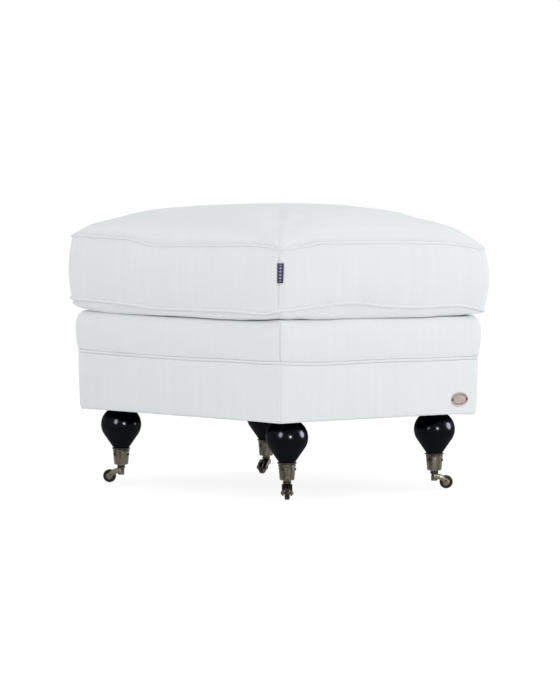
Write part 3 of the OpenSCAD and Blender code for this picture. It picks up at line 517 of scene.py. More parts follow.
class Loft:
    """A skin grown ring by ring from a circle. Each point remembers its ring and its station."""

    def __init__(self, rings: Rings, loop: bool = False) -> None:
        """Grows the skin.

        Args:
            rings: the rings' points, equally many in each.
            loop: whether the last ring meets the first one.
        """
        self.bm = bmesh.new()
        self.rings = len(rings)
        self.stations = len(rings[0])
        self.station = self.bm.verts.layers.int.new("station")
        self.ring = self.bm.verts.layers.int.new("ring")
        start = bmesh.ops.create_circle(self.bm, segments=self.stations, radius=1.0)["verts"]
        for index, vert in enumerate(start):
            vert[self.station], vert.co = index, rings[0][index]
        edges = self.bm.edges[:]
        self.first = edges[:]
        for number, ring in enumerate(rings[1:], 1):
            verts, edges = grow(self.bm, edges)
            for vert in verts:
                vert[self.ring], vert.co = number, ring[vert[self.station]]
        self.last = edges
        if loop:
            bmesh.ops.bridge_loops(self.bm, edges=self.first + self.last)

    def flat_ends(self) -> None:
        """Closes both ends with a flat face."""
        for edges in (self.first, self.last):
            bmesh.ops.contextual_create(self.bm, geom=list(edges))

    def close(self, low: float, high: float) -> None:
        """Closes both ends with fans about points on the Z axis at these heights."""
        for edges, height in ((self.first, low), (self.last, high)):
            made = bmesh.ops.contextual_create(self.bm, geom=list(edges))["faces"]
            ring = max(v[self.ring] for e in edges for v in e.verts)
            for vert in bmesh.ops.poke(self.bm, faces=made)["verts"]:
                vert.co = (0, 0, height)
                vert[self.ring], vert[self.station] = ring, -1

    def solid(self) -> Shape:
        """Turns the faces outwards and returns the shape."""
        bmesh.ops.recalc_face_normals(self.bm, faces=self.bm.faces)
        return self.bm

    def map_plan(self) -> None:
        """Lays the cloth map as seen from above."""
        self.map_cloth(lambda _ring, _station, co, _low: (co.x * MM, co.y * MM))

    def map_cloth(self, place: Callable[[int, float, Vector, int], Pair]) -> None:
        """Lays the cloth map.

        Args:
            place: takes a ring, a station, the point and the face's lowest ring, and gives two metres.
        """
        layer = self.bm.loops.layers.uv.new("cloth")
        for face in self.bm.faces:
            marks = [loop.vert[self.station] for loop in face.loops]
            real = [mark for mark in marks if mark >= 0]
            wraps = bool(real) and max(real) - min(real) > self.stations / 2
            rings = [loop.vert[self.ring] for loop in face.loops]
            closes = max(rings) - min(rings) > 1
            for loop, mark, ring in zip(face.loops, marks, rings):
                station = mark + self.stations if wraps and 0 <= mark < self.stations / 2 else mark
                if mark < 0:
                    station = sum(real) / len(real)
                number = ring + self.rings if closes and ring == 0 else ring
                loop[layer].uv = place(number, station, loop.vert.co, min(rings))


def tube(line: Sequence[Vector], radius: float, sides: int = 12) -> Shape:
    """A closed tube round a level loop, with its cloth map along it.

    Args:
        line: the loop's points.
        radius: the tube's radius.
        sides: its sides.

    Returns:
        The tube.
    """
    count = len(line)
    rings, runs = [], [0.0]
    for index, point in enumerate(line):
        ahead = line[(index + 1) % count]
        along = (ahead - line[index - 1]).normalized()
        across = along.cross(Vector((0, 0, 1))).normalized()
        up = across.cross(along)
        rings.append([point + radius * (math.cos(a) * across + math.sin(a) * up)
                      for a in (math.tau * k / sides for k in range(sides))])
        runs.append(runs[-1] + (ahead - point).length)
    loft = Loft(rings, loop=True)
    loft.map_cloth(lambda ring, station, _co, _low: (runs[min(ring, count)] * MM,
                                                     math.tau * radius * station / sides * MM))
    return loft.solid()


@dataclass
class Workshop:
    """Turns shapes into finished pieces and counts them."""

    palette: dict[str, Material] = field(
        default_factory=lambda: {finish.name: finish.build() for finish in FINISHES})
    pieces: list[Object] = field(default_factory=list)

    def piece(self, bm: Shape, name: str, body: str, finish: str | Sequence[str], stands_for: str,
              slot: str = "", crease: float = 40.0) -> Object:
        """Finishes a shape as a piece of the footstool.

        Args:
            bm: the shape, in millimetres; it is freed.
            name: the piece's name.
            body: the body that it rides on.
            finish: the finish, or one for each material index of the shape.
            stands_for: the CAD node that it replaces.
            slot: the record's material slot, where it isn't called like the first finish; not used.
            crease: the angle in degrees past which an edge is sharp.

        Returns:
            The piece.
        """
        finishes = [finish] if isinstance(finish, str) else finish
        mesh = bpy.data.meshes.new(name)
        bmesh.ops.scale(bm, vec=(MM, MM, MM), verts=bm.verts)
        bm.to_mesh(mesh)
        bm.free()
        mesh.shade_smooth()
        mesh.set_sharp_from_angle(angle=math.radians(crease))
        for each in finishes:
            mesh.materials.append(self.palette[each])
        piece = stand(name, mesh)
        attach(piece, body)
        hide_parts(stands_for)
        self.pieces.append(piece)
        LOG.info("%s: %d faces on %s", name, len(mesh.polygons), body)
        return piece

    def keep(self, node: str, finish: str) -> None:
        """Leaves a CAD node as it is, with a better finish."""
        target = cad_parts[node]
        target.data.materials.clear()
        target.data.materials.append(self.palette[finish])
        LOG.info("%s: kept, %s", node, finish)


# ---- Plan outlines and waves

@dataclass(frozen=True)
class Station:
    """A place round a rounded rectangle: on one of its bends, or along the side that follows the bend."""

    side: int
    share: float
    bend: bool


BEND_SHARES = (0.0, 0.17, 0.32, 0.42, 0.47, 0.5, 0.53, 0.58, 0.68, 0.83, 1.0)
SIDE_STEPS = 64
CROWDING = 0.38


def all_stations() -> list[Station]:
    """The stations in order, closer together near the bends, with one in the middle of each bend."""
    found = []
    for side in range(4):
        found += [Station(side, share, True) for share in BEND_SHARES]
        for step in range(1, SIDE_STEPS + 1):
            even = step / (SIDE_STEPS + 1)
            crowded = 0.5 - 0.5 * math.cos(math.pi * even)
            found.append(Station(side, (1 - CROWDING) * even + CROWDING * crowded, False))
    return found


STATIONS = all_stations()
PLAN_SIGNS = ((1, 1), (-1, 1), (-1, -1), (1, -1))


@dataclass(frozen=True)
class Plan:
    """A rounded rectangle whose sides may draw in at their middle."""

    half_x: float
    half_y: float
    radius: float
    draw: float = 0.0

    def place(self, station: Station, out: float = 0.0) -> tuple[Vector, Vector]:
        """Finds a station.

        Args:
            station: the station.
            out: how far outside the outline.

        Returns:
            The point and the direction that faces away from the side there.
        """
        half_x, half_y, radius = self.half_x + out, self.half_y + out, max(self.radius + out, 0.5)
        sx, sy = PLAN_SIGNS[station.side]
        start = math.pi / 2 * station.side
        centre = Vector((sx * (half_x - radius), sy * (half_y - radius), 0))
        if station.bend:
            angle = start + math.pi / 2 * station.share
            normal = Vector((math.cos(angle), math.sin(angle), 0))
            return centre + radius * normal, normal
        nx, ny = PLAN_SIGNS[(station.side + 1) % 4]
        normal = Vector((math.cos(start + math.pi / 2), math.sin(start + math.pi / 2), 0))
        follows = Vector((nx * (half_x - radius), ny * (half_y - radius), 0))
        pull = self.draw * (1 - (2 * station.share - 1) ** 2)
        return centre.lerp(follows, station.share) + (radius - pull) * normal, normal

    def runs(self) -> list[float]:
        """The length round the outline at each station, and the whole at the end, in millimetres."""
        points = [self.place(station)[0] for station in STATIONS]
        found = [0.0]
        for index, point in enumerate(points):
            found.append(found[-1] + (points[(index + 1) % len(points)] - point).length)
        return found


def curve_at(points: Points, place: float) -> float:
    """Reads a smooth curve through points of (place, height), level past its ends."""
    if place <= points[0][0]:
        return points[0][1]
    if place >= points[-1][0]:
        return points[-1][1]
    index = next(i for i in range(len(points) - 1) if place <= points[i + 1][0])

    def slope(at: int) -> float:
        """The curve's slope at one of its points."""
        low, high = max(at - 1, 0), min(at + 1, len(points) - 1)
        return (points[high][1] - points[low][1]) / (points[high][0] - points[low][0])

    (x0, y0), (x1, y1) = points[index], points[index + 1]
    span = x1 - x0
    t = (place - x0) / span
    return ((2 * t ** 3 - 3 * t ** 2 + 1) * y0 + (t ** 3 - 2 * t ** 2 + t) * span * slope(index)
            + (3 * t ** 2 - 2 * t ** 3) * y1 + (t ** 3 - t ** 2) * span * slope(index + 1))


def curve_flat(points: Points, place: float) -> float:
    """Reads a line through points of (place, height) that eases in and out between them."""
    for (x0, y0), (x1, y1) in zip(points, points[1:]):
        if place <= x1:
            t = max(0.0, (place - x0) / (x1 - x0))
            return y0 + (y1 - y0) * t * t * (3 - 2 * t)
    return points[-1][1]


@dataclass(frozen=True)
class Wave:
    """How far a seam rises along each side of the footstool, as points of (place, rise) in millimetres."""

    front: Points
    right: Points
    back: Points
    left: Points

    def at(self, point: Vector, plan: Plan) -> float:
        """The rise at a point of a plan's outline."""
        if abs(point.x) / plan.half_x > abs(point.y) / plan.half_y:
            return curve_at(self.right if point.x > 0 else self.left, point.y)
        return curve_at(self.back if point.y > 0 else self.front, point.x)

    def eased(self, plan: Plan, reach: float) -> list[float]:
        """The rise at every station, evened out over a reach in millimetres either way."""
        points = [plan.place(station)[0] for station in STATIONS]
        rises = [self.at(point, plan) for point in points]
        runs = plan.runs()
        if reach < 1:
            return rises
        found = []
        for middle in runs[:-1]:
            total = weight = 0.0
            for index, rise in enumerate(rises):
                gap = abs(runs[index] - middle)
                gap = min(gap, runs[-1] - gap)
                if gap < 3 * reach:
                    span = runs[index + 1] - runs[index]
                    share = span * math.exp(-(gap / reach) ** 2)
                    total, weight = total + share * rise, weight + share
            found.append(total / weight)
        return found


def ripple(point: Vector, size: float, seed: float) -> float:
    """A smooth random swell between about -1 and 1 whose swells are a size apart."""
    return noise.noise(point / size + Vector((seed, seed * 1.7, seed * 0.6)))


def seam_dip(station: Station, depth: float) -> float:
    """How far cloth pulls in at the upright seam in the middle of a bend, with a faint lip each side."""
    if not station.bend:
        return 0.0
    off = abs(station.share - 0.5)
    return depth * (math.exp(-(off / 0.04) ** 2) - 0.3 * math.exp(-((off - 0.12) / 0.05) ** 2))


@dataclass(frozen=True)
class Fade:
    """An amount for each corner of an outline, in the order of CORNERS, that fades away over a reach."""

    amounts: tuple[float, float, float, float]
    reach: float

    def at(self, point: Vector, plan: Plan) -> float:
        """The amount at a point."""
        found = 0.0
        for amount, (sx, sy) in zip(self.amounts, CORNER_SIGNS):
            gap = math.hypot(point.x - sx * plan.half_x, point.y - sy * plan.half_y)
            found += amount * math.exp(-(gap / self.reach) ** 2)
        return found


def sweep(section: Sequence[tuple], place: Callable[..., Vector]) -> Rings:
    """The rings of a section's rows: for each row, the place that a function gives it at every station."""
    return [[place(station, *row) for station in STATIONS] for row in section]


def closed_skin(rings: Rings, low: float, high: float) -> Shape:
    """A closed form over rings from the lowest to the highest, with its cloth map seen from above."""
    loft = Loft(rings)
    loft.close(low, high)
    loft.map_plan()
    return loft.solid()


@dataclass
class Settling:
    """Lets the cloth of a padded form settle under the push of its filling."""

    voxel: float = 6.0
    pin_reach: float = 1.4
    neighbours: int = 6
    nearest: float = 0.0005
    pressure: float = 4.0
    frames: int = 20
    most: float = 5.0
    sink: float = 0.3
    seam_reach: float = 22.0

    def moves(self, bm: Shape, seams: Sequence[Vector]) -> list[Vector]:
        """Runs the cloth on a copy and reads how far each point of the form is pushed.

        Args:
            bm: the form, in millimetres.
            seams: points along its seams, which hold the cloth.

        Returns:
            A move for each vertex, in millimetres, that dies away towards the seams.
        """
        held = kdtree.KDTree(len(seams))
        for index, point in enumerate(seams):
            held.insert(point, index)
        held.balance()
        mesh = bpy.data.meshes.new("settling")
        bm.to_mesh(mesh)
        mesh.transform(Matrix.Scale(MM, 4))
        grain = stand("settling", mesh)
        remesh = grain.modifiers.new("grain", "REMESH")
        remesh.mode, remesh.voxel_size = "VOXEL", self.voxel * MM
        graph = bpy.context.evaluated_depsgraph_get()
        trial = stand("settling", bpy.data.meshes.new_from_object(grain.evaluated_get(graph)))
        pins = trial.vertex_groups.new(name="held")
        for vert in trial.data.vertices:
            gap = held.find(vert.co / MM)[2]
            pins.add([vert.index], max(0.0, 1 - gap / (self.pin_reach * self.voxel)), "REPLACE")
        cloth = trial.modifiers.new("pressure", "CLOTH")
        cloth.settings.use_pressure = True
        cloth.settings.uniform_pressure_force = self.pressure
        cloth.settings.effector_weights.gravity = 0.0
        cloth.settings.vertex_group_mass = "held"
        cloth.settings.quality = 4
        cloth.point_cache.frame_start, cloth.point_cache.frame_end = 1, self.frames
        for number in range(1, self.frames + 1):
            bpy.context.scene.frame_set(number)
        graph = bpy.context.evaluated_depsgraph_get()
        pushed = trial.evaluated_get(graph).data.vertices
        tree = kdtree.KDTree(len(pushed))
        shifts = []
        for vert, after in zip(trial.data.vertices, pushed):
            tree.insert(vert.co, vert.index)
            push = (after.co - vert.co) / MM
            push -= vert.normal * min(0.0, push.dot(vert.normal)) * (1 - self.sink)
            shifts.append(push * min(1.0, self.most / max(push.length, 0.001)))
        tree.balance()
        found = []
        for vert in bm.verts:
            near = tree.find_n(vert.co * MM, self.neighbours)
            weights = [1 / (gap + self.nearest) for _, _, gap in near]
            push = sum((shifts[index] * weight for (_, index, _), weight in zip(near, weights)), Vector())
            fade = min(1.0, held.find(vert.co)[2] / self.seam_reach)
            found.append(push / sum(weights) * fade * fade * (3 - 2 * fade))
        for spare in (grain, trial):
            bpy.data.objects.remove(spare)
        bpy.context.scene.frame_set(1)
        return found


# ---- Base

@dataclass
class BaseCover:
    """The cloth of the base: padded upper band, welt, plain lower band, platform cloth and dust cloth."""

    plan: Plan = Plan(265.4, 214.9, 8.5)
    foot: float = 124.5
    lower_top: float = 215.5
    welt_z: float = 218.0
    upper_foot: float = 220.5
    top: float = 285.0
    lean: float = 2.5
    swell: float = 4.2
    corner_hang: Fade = Fade((0.6, 0.6, 2.4, 0.6), 45)
    corner_swell: Fade = Fade((0.4, 0.0, 1.2, 0.4), 60)
    shoulder_w: float = 15.2
    shoulder_h: float = 26.0
    turn_in: float = 60.0
    cloth: float = 2.5
    hem: float = 16.0
    welt_r: float = 2.45
    welt_set: float = 1.35
    lower_shown: tuple[int, int] = (4, 13)
    lower_tucked: int = 17
    deck_top: float = 283.7
    deck_cloth: float = 1.2
    frame_half: Pair = (255.5, 205.5)
    gap_wave: Wave = Wave(
        front=((-262, 4.4), (-237, 3.7), (-81, 0.7), (44, -0.4), (126, -1.2), (206, -0.3), (256, 3.1)),
        right=((-212, 2.6), (-122, 0.5), (-74, 1.2), (-8, 0.7), (91, -1.0), (135, 0), (190, -0.6), (212, 1.4)),
        back=((-262, 2.4), (-120, 0.4), (0, -0.6), (140, 0.2), (262, 1.4)),
        left=((-212, 4.4), (-90, 0.6), (60, -0.4), (212, 2.4)))
    welt_wave: Wave = Wave(
        front=((-262, 3.8), (-165, 1.6), (-82, 1.0), (46, 0.2), (136, 1.2), (212, 0.8), (262, 1.7)),
        right=((-212, 1.7), (-175, -0.5), (-110, -2.0), (-68, -1.6), (-15, -1.3), (39, -1.3), (105, -2.2),
               (207, -2.2)),
        back=((-262, 1.4), (-60, -0.8), (90, 0.6), (262, -2.2)),
        left=((-212, 3.8), (-60, 0.6), (80, -0.4), (212, 1.4)))

    def level(self, point: Vector) -> float:
        """How high the flat of the upper band stands at a place in plan, taken on out past its shoulder."""
        x, y = self.plan.half_x, self.plan.half_y
        near = Vector((max(-x, min(x, point.x)), max(-y, min(y, point.y)), 0))
        out = max(abs(point.x) - x, abs(point.y) - y)
        return self.top + self.gap_wave.at(near, self.plan) * max(0.0, 1 + out / self.turn_in)

    def rest_height(self, point: Vector) -> float:
        """How high the top of the upper band stands at a place in plan, for what lies on it."""
        out = max(abs(point.x) - self.plan.half_x, abs(point.y) - self.plan.half_y)
        if out > self.swell:
            return 0.0
        fall = max(0.0, 1 - (self.swell - out) / self.shoulder_w)
        return self.level(point) - self.shoulder_h * (1 - math.sqrt(1 - fall * fall))

    def upper_section(self) -> list[Triple]:
        """The upper band's section: how far out, how high, and how much it follows the shoulder's wave."""
        foot, top, tall, wide = self.upper_foot, self.top, self.shoulder_h, self.shoulder_w
        found = [(-3.2, foot + 1.2, 0.0), (-2.4, foot + 0.3, 0.0), (-1.2, foot, 0.0), (-0.2, foot + 0.4, 0.0),
                 (0.3, foot + 1.7, 0.02)]
        for step in (0.14, 0.24, 0.36, 0.5, 0.64, 0.78, 0.9, 1.0):
            found.append((self.swell * (1 - (1 - step) ** 2), foot + step * (top - tall - foot), 0.6 * step))
        for angle in (9, 18, 27, 36, 45, 54, 63, 71, 79, 85, 90):
            a = math.radians(angle)
            found.append((self.swell - wide * (1 - math.cos(a)), top - tall + tall * math.sin(a),
                          0.6 + 0.4 * math.sin(a)))
        edge, under = -self.turn_in, top - self.cloth
        found += [(-17, top - 0.1, 0.8), (-27, top - 0.3, 0.6), (-40, top - 0.5, 0.35), (-52, top - 0.8, 0.1),
                  (edge + 2, top - 1.1, 0), (edge + 0.3, top - 1.5, 0), (edge + 0.2, top - 2.1, 0),
                  (edge + 2, under, 0), (-30, under, 0.5)]
        for angle in (90, 78, 66, 54, 42, 30, 15, 0):
            a = math.radians(angle)
            out = self.swell - self.cloth - (wide - self.cloth) * (1 - math.cos(a))
            found.append((min(out, -0.6), top - tall + (tall - self.cloth) * math.sin(a),
                          0.6 + 0.4 * math.sin(a)))
        return found + [(-3.2, foot + 14, 0.1)]

    def wrapped(self, rings: Rings, climb: Sequence[float]) -> Shape:
        """A band round the base, whose cloth map goes round it and up by a climb at each ring."""
        loft = Loft(rings, loop=True)
        runs = self.plan.runs()
        loft.map_cloth(lambda ring, station, _co, _low: (runs[int(station)] * MM, climb[ring] * MM))
        return loft.solid()

    def upper_point(self, station: Station, out: float, height: float, follow: float) -> Vector:
        """A point of the upper band, on one row of its section."""
        edge, normal = self.plan.place(station)
        low, high = self.welt_wave.at(edge, self.plan), self.gap_wave.at(edge, self.plan)
        rise = (1 - follow) * low + follow * high
        fade = 1.0 if out > -20 else max(0.0, 1 + out / self.turn_in)
        shows = 1.0 if out > -1.8 and height > self.upper_foot + 1.5 else 0.0
        soft = 0.7 * ripple(edge + Vector((0, 0, height)), 80, 11.0) * shows
        near = math.exp(-(height - self.upper_foot) / 7)
        soft += self.corner_swell.at(edge, self.plan) * shows
        soft += 0.35 * near * shows * ripple(Vector((edge.x, edge.y, 5)), 13, 12.0)
        point = self.plan.place(station, out + soft)[0]
        point -= normal * seam_dip(station, 2.0) * shows
        point.z = height + rise * fade
        return point

    def upper_band(self, shop: Workshop) -> None:
        """The padded upper band, closed round its cloth, with its mitred corners sewn."""
        section = self.upper_section()
        climb = [0.0]
        for (out, height, _), (next_out, next_height, _) in zip(section, section[1:] + section[:1]):
            climb.append(climb[-1] + math.hypot(next_out - out, next_height - height))
        skin = self.wrapped(sweep(section, self.upper_point), climb)
        band = shop.piece(skin, "upper_band", "base", "cover_cloth", "upper_band_cover")

    def lower_point(self, station: Station, number: int, out: float, height: float) -> Vector:
        """A point of the lower band, on one numbered row of its section."""
        share = (height - self.foot) / (self.lower_top - self.foot)
        shows = self.lower_shown[0] <= number <= self.lower_shown[1]
        edge, normal = self.plan.place(station)
        rise = max(0.0, share) * self.welt_wave.at(edge, self.plan)
        soft = 0.35 * ripple(edge + Vector((0, 0, height)), 110, 21.0) * shows
        if station.bend and number < self.lower_tucked:
            soft -= 2.4 * math.exp((self.foot - height) / 3.5) * math.sin(math.pi * station.share)
        point = self.plan.place(station, out + soft)[0]
        point -= normal * seam_dip(station, 0.9) * shows
        hang = self.corner_hang.at(edge, self.plan) * max(0.0, 1 - share)
        point.z = height + rise - hang
        return point

    def lower_band(self, shop: Workshop) -> None:
        """The plain lower band, rounded under at its foot to a hem."""
        high, foot = self.lower_top, self.foot
        section = [(-3.6, high + 0.2), (-2.4, high + 0.2), (-1.2, high), (-0.3, high - 0.5), (0.1, high - 1.8),
                   (0.1, high - 6), (0.0, high - 14), (-0.3, high - 28), (-0.8, high - 44), (-1.3, high - 60),
                   (-1.8, high - 74), (-2.2, foot + 8), (-2.4, foot + 4.5), (-2.7, foot + 2.4),
                   (-3.5, foot + 0.9), (-5, foot + 0.1), (-9, foot), (-17.4, foot), (-18.4, foot + 0.3),
                   (-18.4, foot + 0.9), (-17.4, foot + 1.15), (-6, foot + 1.15), (-4.8, foot + 2),
                   (-4.8, foot + 30), (-4.8, high - 12)]
        rings = sweep([(number, *row) for number, row in enumerate(section)], self.lower_point)
        skin = self.wrapped(rings, [height - out for out, height in section + section[:1]])
        band = shop.piece(skin, "lower_band", "base", "cover_cloth", "lower_band_cover")

    def welt(self, shop: Workshop) -> None:
        """The corded welt between the bands."""
        line = []
        for station in STATIONS:
            point = self.plan.place(station, -self.welt_set)[0]
            point.z = self.welt_z + self.welt_wave.at(self.plan.place(station)[0], self.plan)
            line.append(point)
        shop.piece(tube(line, self.welt_r), "welt_cord", "base", "cover_cloth", "base_welt")

    def platform_cloth(self, shop: Workshop) -> None:
        """The plain cloth under the cushion, pulled down a little by its stuffing."""
        plan = Plan(self.plan.half_x - self.turn_in - 0.3, self.plan.half_y - self.turn_in - 0.3, 2.0)
        foot = self.deck_top - self.deck_cloth

        def place(station: Station, share: float, height: float) -> Vector:
            """A point of the cloth, a share of the way out."""
            edge = plan.place(station)[0]
            point = Vector((edge.x * share, edge.y * share, 0))
            lift = 0.35 * ripple(point, 60, 31.0) if height > 1 else 0.0
            point.z = foot + height + min(0.0, lift)
            return point

        rings = sweep(((0.5, 0), (0.9, 0), (0.992, 0), (1.0, 0.3), (1.0, 0.8), (0.996, 1.15), (0.985, 1.1),
                       (0.96, 0.9), (0.92, 0.95), (0.85, 1.05), (0.75, 1.1), (0.62, 1.15), (0.48, 1.2),
                       (0.32, 1.2), (0.16, 1.2)), place)
        cloth = shop.piece(closed_skin(rings, foot, self.deck_top), "platform_cloth", "base", "deck_cloth",
                           "deck_cover")

    def dust_cloth(self, shop: Workshop) -> None:
        """The cloth under the frame, open round the legs, which hangs a little between its staples."""
        bm = copied("dust_cover")
        cut_grid(bm, 12.0)
        half_x, half_y = self.frame_half
        for vert in bm.verts:
            a, b = vert.co.x / half_x, vert.co.y / half_y
            slack = max(0.0, (1 - a * a) * (1 - b * b))
            vert.co.z = self.foot + 0.45 * (vert.co.z - self.foot)
            vert.co.z -= 0.5 * slack ** 0.8 * (1 + 0.6 * ripple(vert.co, 40, 41.0))
        cloth = shop.piece(bm, "dust_cloth_under", "base", "dust_cloth", "dust_cover")

    def build(self, shop: Workshop) -> None:
        """Makes the base's cloth."""
        self.upper_band(shop)
        self.lower_band(shop)
        self.welt(shop)
        self.platform_cloth(shop)
        self.dust_cloth(shop)


# ---- Cushion

class Zone(Enum):
    """The three cloths of the cushion's cover."""

    UNDER = 0
    WALL = 1
    CROWN = 2


@dataclass
class Cushion:
    """The loose cushion: sagging underside, boxing between two piped seams and a crowned top."""

    base: BaseCover
    plan: Plan = Plan(272.5, 223.5, 12.0, 4.0)
    bottom: float = 285.3
    low_seam: float = 302.8
    top_seam: float = 402.0
    crown: float = 62.6
    fullness: float = 0.4
    squareness: float = 2.2
    under_fullness: float = 0.25
    spread: float = 2.0
    bulge: float = 5.5
    boxing: float = 99.0
    tuck_reach: float = 0.9
    gather_reach: float = 11.0
    even_reach: float = 260.0
    rest_gap: float = 0.15
    seam_in: Pair = (2.2, 0.045)
    seam_lip: Triple = (0.5, 0.13, 0.06)
    corner_bulge: Fade = Fade((0.4, 0.0, 3.6, 1.0), 70)
    corner_crown: Fade = Fade((9.0, 4.0, 20.0, 8.0), 90)
    corner_flat: Fade = Fade((0.95, 0.0, 0.5, 0.0), 22)
    foot_shift: Fade = Fade((1.8, 0.0, -0.8, 0.0), 60)
    valley: float = 1.9
    lip: float = 3.0
    piping: Pair = (2.7, 2.3)
    piping_out: float = 0.4
    zip_length: float = 390.0
    zip_depth: float = 6.4
    opening: float = 10.2
    opening_soft: Pair = (12.0, 8.0)
    fold: float = 1.3
    top_wave: Wave = Wave(
        front=((-272, 12), (-250, 13.6), (-218, 12.6), (-148, 10.2), (-108, 8), (-54, -0.6), (41, 0.1),
               (130, 1.2), (222, 2.4), (249, -0.4), (272, -3.2)),
        right=((-223, -3.2), (-197, -1.8), (-184, -0.4), (-168, 1), (-140, 4.8), (-92, 5.6), (-20, 5.5),
               (46, 4.6), (113, 3.2), (164, -0.2), (212, -6.8), (223, -8)),
        back=((-272, 1), (-200, 1.8), (-60, 2.4), (80, 2.0), (200, 2.4), (272, -8)),
        left=((-223, 12), (-160, 7), (-60, 2), (70, 4), (170, 3), (223, 1)))
    low_wave: Wave = Wave(
        front=((-272, 8.2), (-250, 6.0), (-216, 5.3), (-127, 1.1), (-89, -1.1), (-57, -4), (45, -4),
               (132, -3.7), (170, -4.1), (222, -5.6), (241, -5.4), (272, 0.1)),
        right=((-223, 0), (-203, 0.2), (-174, 2.7), (-130, 6.2), (-82, 9), (-50, 8.3), (-7, 3.6), (46, 0.2),
               (101, -0.1), (150, 0.9), (183, -1.9), (210, -7.6), (223, -10.4)),
        back=((-272, -2), (-200, -1.8), (-60, -2.4), (80, -2.0), (200, -2.4), (272, -10.4)),
        left=((-223, 8.2), (-150, 2), (-20, -2), (120, 1), (223, -2)))

    def rings(self) -> list[tuple[Zone, float]]:
        """The skin's rings, from the middle of the underside to the middle of the crown."""
        shares = {
            Zone.UNDER: (0.12, 0.25, 0.4, 0.55, 0.68, 0.78, 0.85, 0.9, 0.935, 0.96, 0.978, 0.99, 0.997),
            Zone.WALL: (0.0, 0.012, 0.03, 0.06, 0.1, 0.15, 0.21, 0.27, 0.32, 0.345, 0.365, 0.384, 0.396, 0.4,
                        0.407, 0.45, 0.5, 0.55, 0.593, 0.6, 0.604, 0.616, 0.635, 0.655, 0.68, 0.73, 0.79, 0.85,
                        0.9, 0.94, 0.97, 0.988, 1.0),
            Zone.CROWN: (0.9985, 0.995, 0.988, 0.977, 0.962, 0.943, 0.92, 0.89, 0.855, 0.81, 0.76, 0.7, 0.63,
                         0.55, 0.46, 0.36, 0.25, 0.13)}
        return [(zone, share) for zone, found in shares.items() for share in found]

    def full(self, point: Vector, share: float, power: float) -> float:
        """How full a panel is at a share of the way out to an outline point."""
        u, v = abs(point.x) / self.plan.half_x, abs(point.y) / self.plan.half_y
        most = max(u, v) ** (share ** 10)
        a, b = (share * u / most) ** self.squareness, (share * v / most) ** self.squareness
        return max(0.0, (1 - a) * (1 - b)) ** power

    def shifted(self, station: Station) -> float:
        """How far the lower seam stands out at a station."""
        return self.foot_shift.at(self.plan.place(station)[0], self.plan)

    def seam(self, station: Station, top: bool) -> Vector:
        """The middle of a piping at a station."""
        out = self.piping_out + (0.0 if top else self.shifted(station))
        point, _ = self.plan.place(station, out)
        wave = self.top_wave if top else self.low_wave
        return point + Vector((0, 0, (self.top_seam if top else self.low_seam) + wave.at(point, self.plan)))

    def panel(self, station: Station, share: float, top: bool, wave: float) -> Vector:
        """A point of the crown or the underside, where the seams' evened wave is known."""
        edge, _ = self.plan.place(station, -0.4 + (0.0 if top else self.shifted(station)))
        point = Vector((share * edge.x, share * edge.y, 0))
        near = math.exp(-(1 - share) * 42)
        pucker = 0.9 * near * (1 - near) * 4 * ripple(Vector((edge.x, edge.y, 9)), 13, 3.0)
        if top:
            full = self.full(edge, share, self.fullness)
            full *= 1 - self.corner_flat.at(point, self.plan)
            swell = 1.6 * ripple(point, 120, 5.0) + 0.7 * ripple(point, 46, 8.0)
            crown = self.crown + self.corner_crown.at(point, self.plan)
            rise = self.lip + (crown - self.lip) * full + wave * share ** 2
            return point + Vector((0, 0, self.top_seam + rise + min(1.0, 1.5 * full) * swell + pucker))
        drop = min(1.0, self.spread * self.full(edge, share, self.under_fullness))
        low = min(self.bottom, self.base.level(point) + 0.3)
        flat = self.low_seam - self.lip - drop * (self.low_seam - self.lip - low)
        rise = (wave * share ** 8 + pucker) * (1 - drop)
        rest = self.base.rest_height(point) + self.rest_gap
        return point + Vector((0, 0, max(low, rest, flat + rise)))

    def wall(self, station: Station, height: float) -> Vector:
        """A point of the boxing."""
        middle = 2 * height - 1
        tuck = math.exp(-min(height, 1 - height) * self.boxing / self.tuck_reach)
        edge = self.plan.place(station)[0]
        low = self.low_seam + self.low_wave.at(edge, self.plan)
        high = self.top_seam + self.top_wave.at(edge, self.plan)
        end = min(1.0, 8 * min(height, 1 - height))
        swell = 1.2 * ripple(edge + Vector((0, 0, 90 * height)), 95, 1.0) * end
        near = math.exp(-min(height, 1 - height) * self.boxing / self.gather_reach)
        gather = 0.7 * near * ripple(Vector((edge.x, edge.y, 40 * round(height))), 12, 6.0)
        fill = self.bulge + self.corner_bulge.at(edge, self.plan)
        out = fill * (1 - middle * middle) - self.valley * tuck + swell + gather * (1 - tuck)
        out += self.shifted(station) * (1 - height)
        if station.bend:
            off = abs(station.share - 0.5)
            (deep, wide), (tall, place, broad) = self.seam_in, self.seam_lip
            out -= deep * math.exp(-(off / wide) ** 2) * end
            out += tall * math.exp(-((off - place) / broad) ** 2) * end
        saved = Plan(self.plan.half_x, self.plan.half_y, self.plan.radius, self.plan.draw * middle * middle)
        point = saved.place(station, out)[0]
        point.z = low + (high - low) * height
        return self.grooved(point, saved.place(station)[1])

    def grooved(self, point: Vector, normal: Vector) -> Vector:
        """Sinks the zip's place in the back of the boxing."""
        if normal.y < 0.99:
            return point
        floor = self.plan.half_y + self.bulge - self.zip_depth
        if abs(point.z - self.zip_z()) > self.opening + 0.1 or abs(point.x) > self.zip_length / 2 - 3:
            floor += self.fold
        point.y -= self.in_groove(point) * max(0.0, point.y - floor)
        return point

    def zip_z(self) -> float:
        """How high the zip runs."""
        return (self.low_seam + self.top_seam) / 2

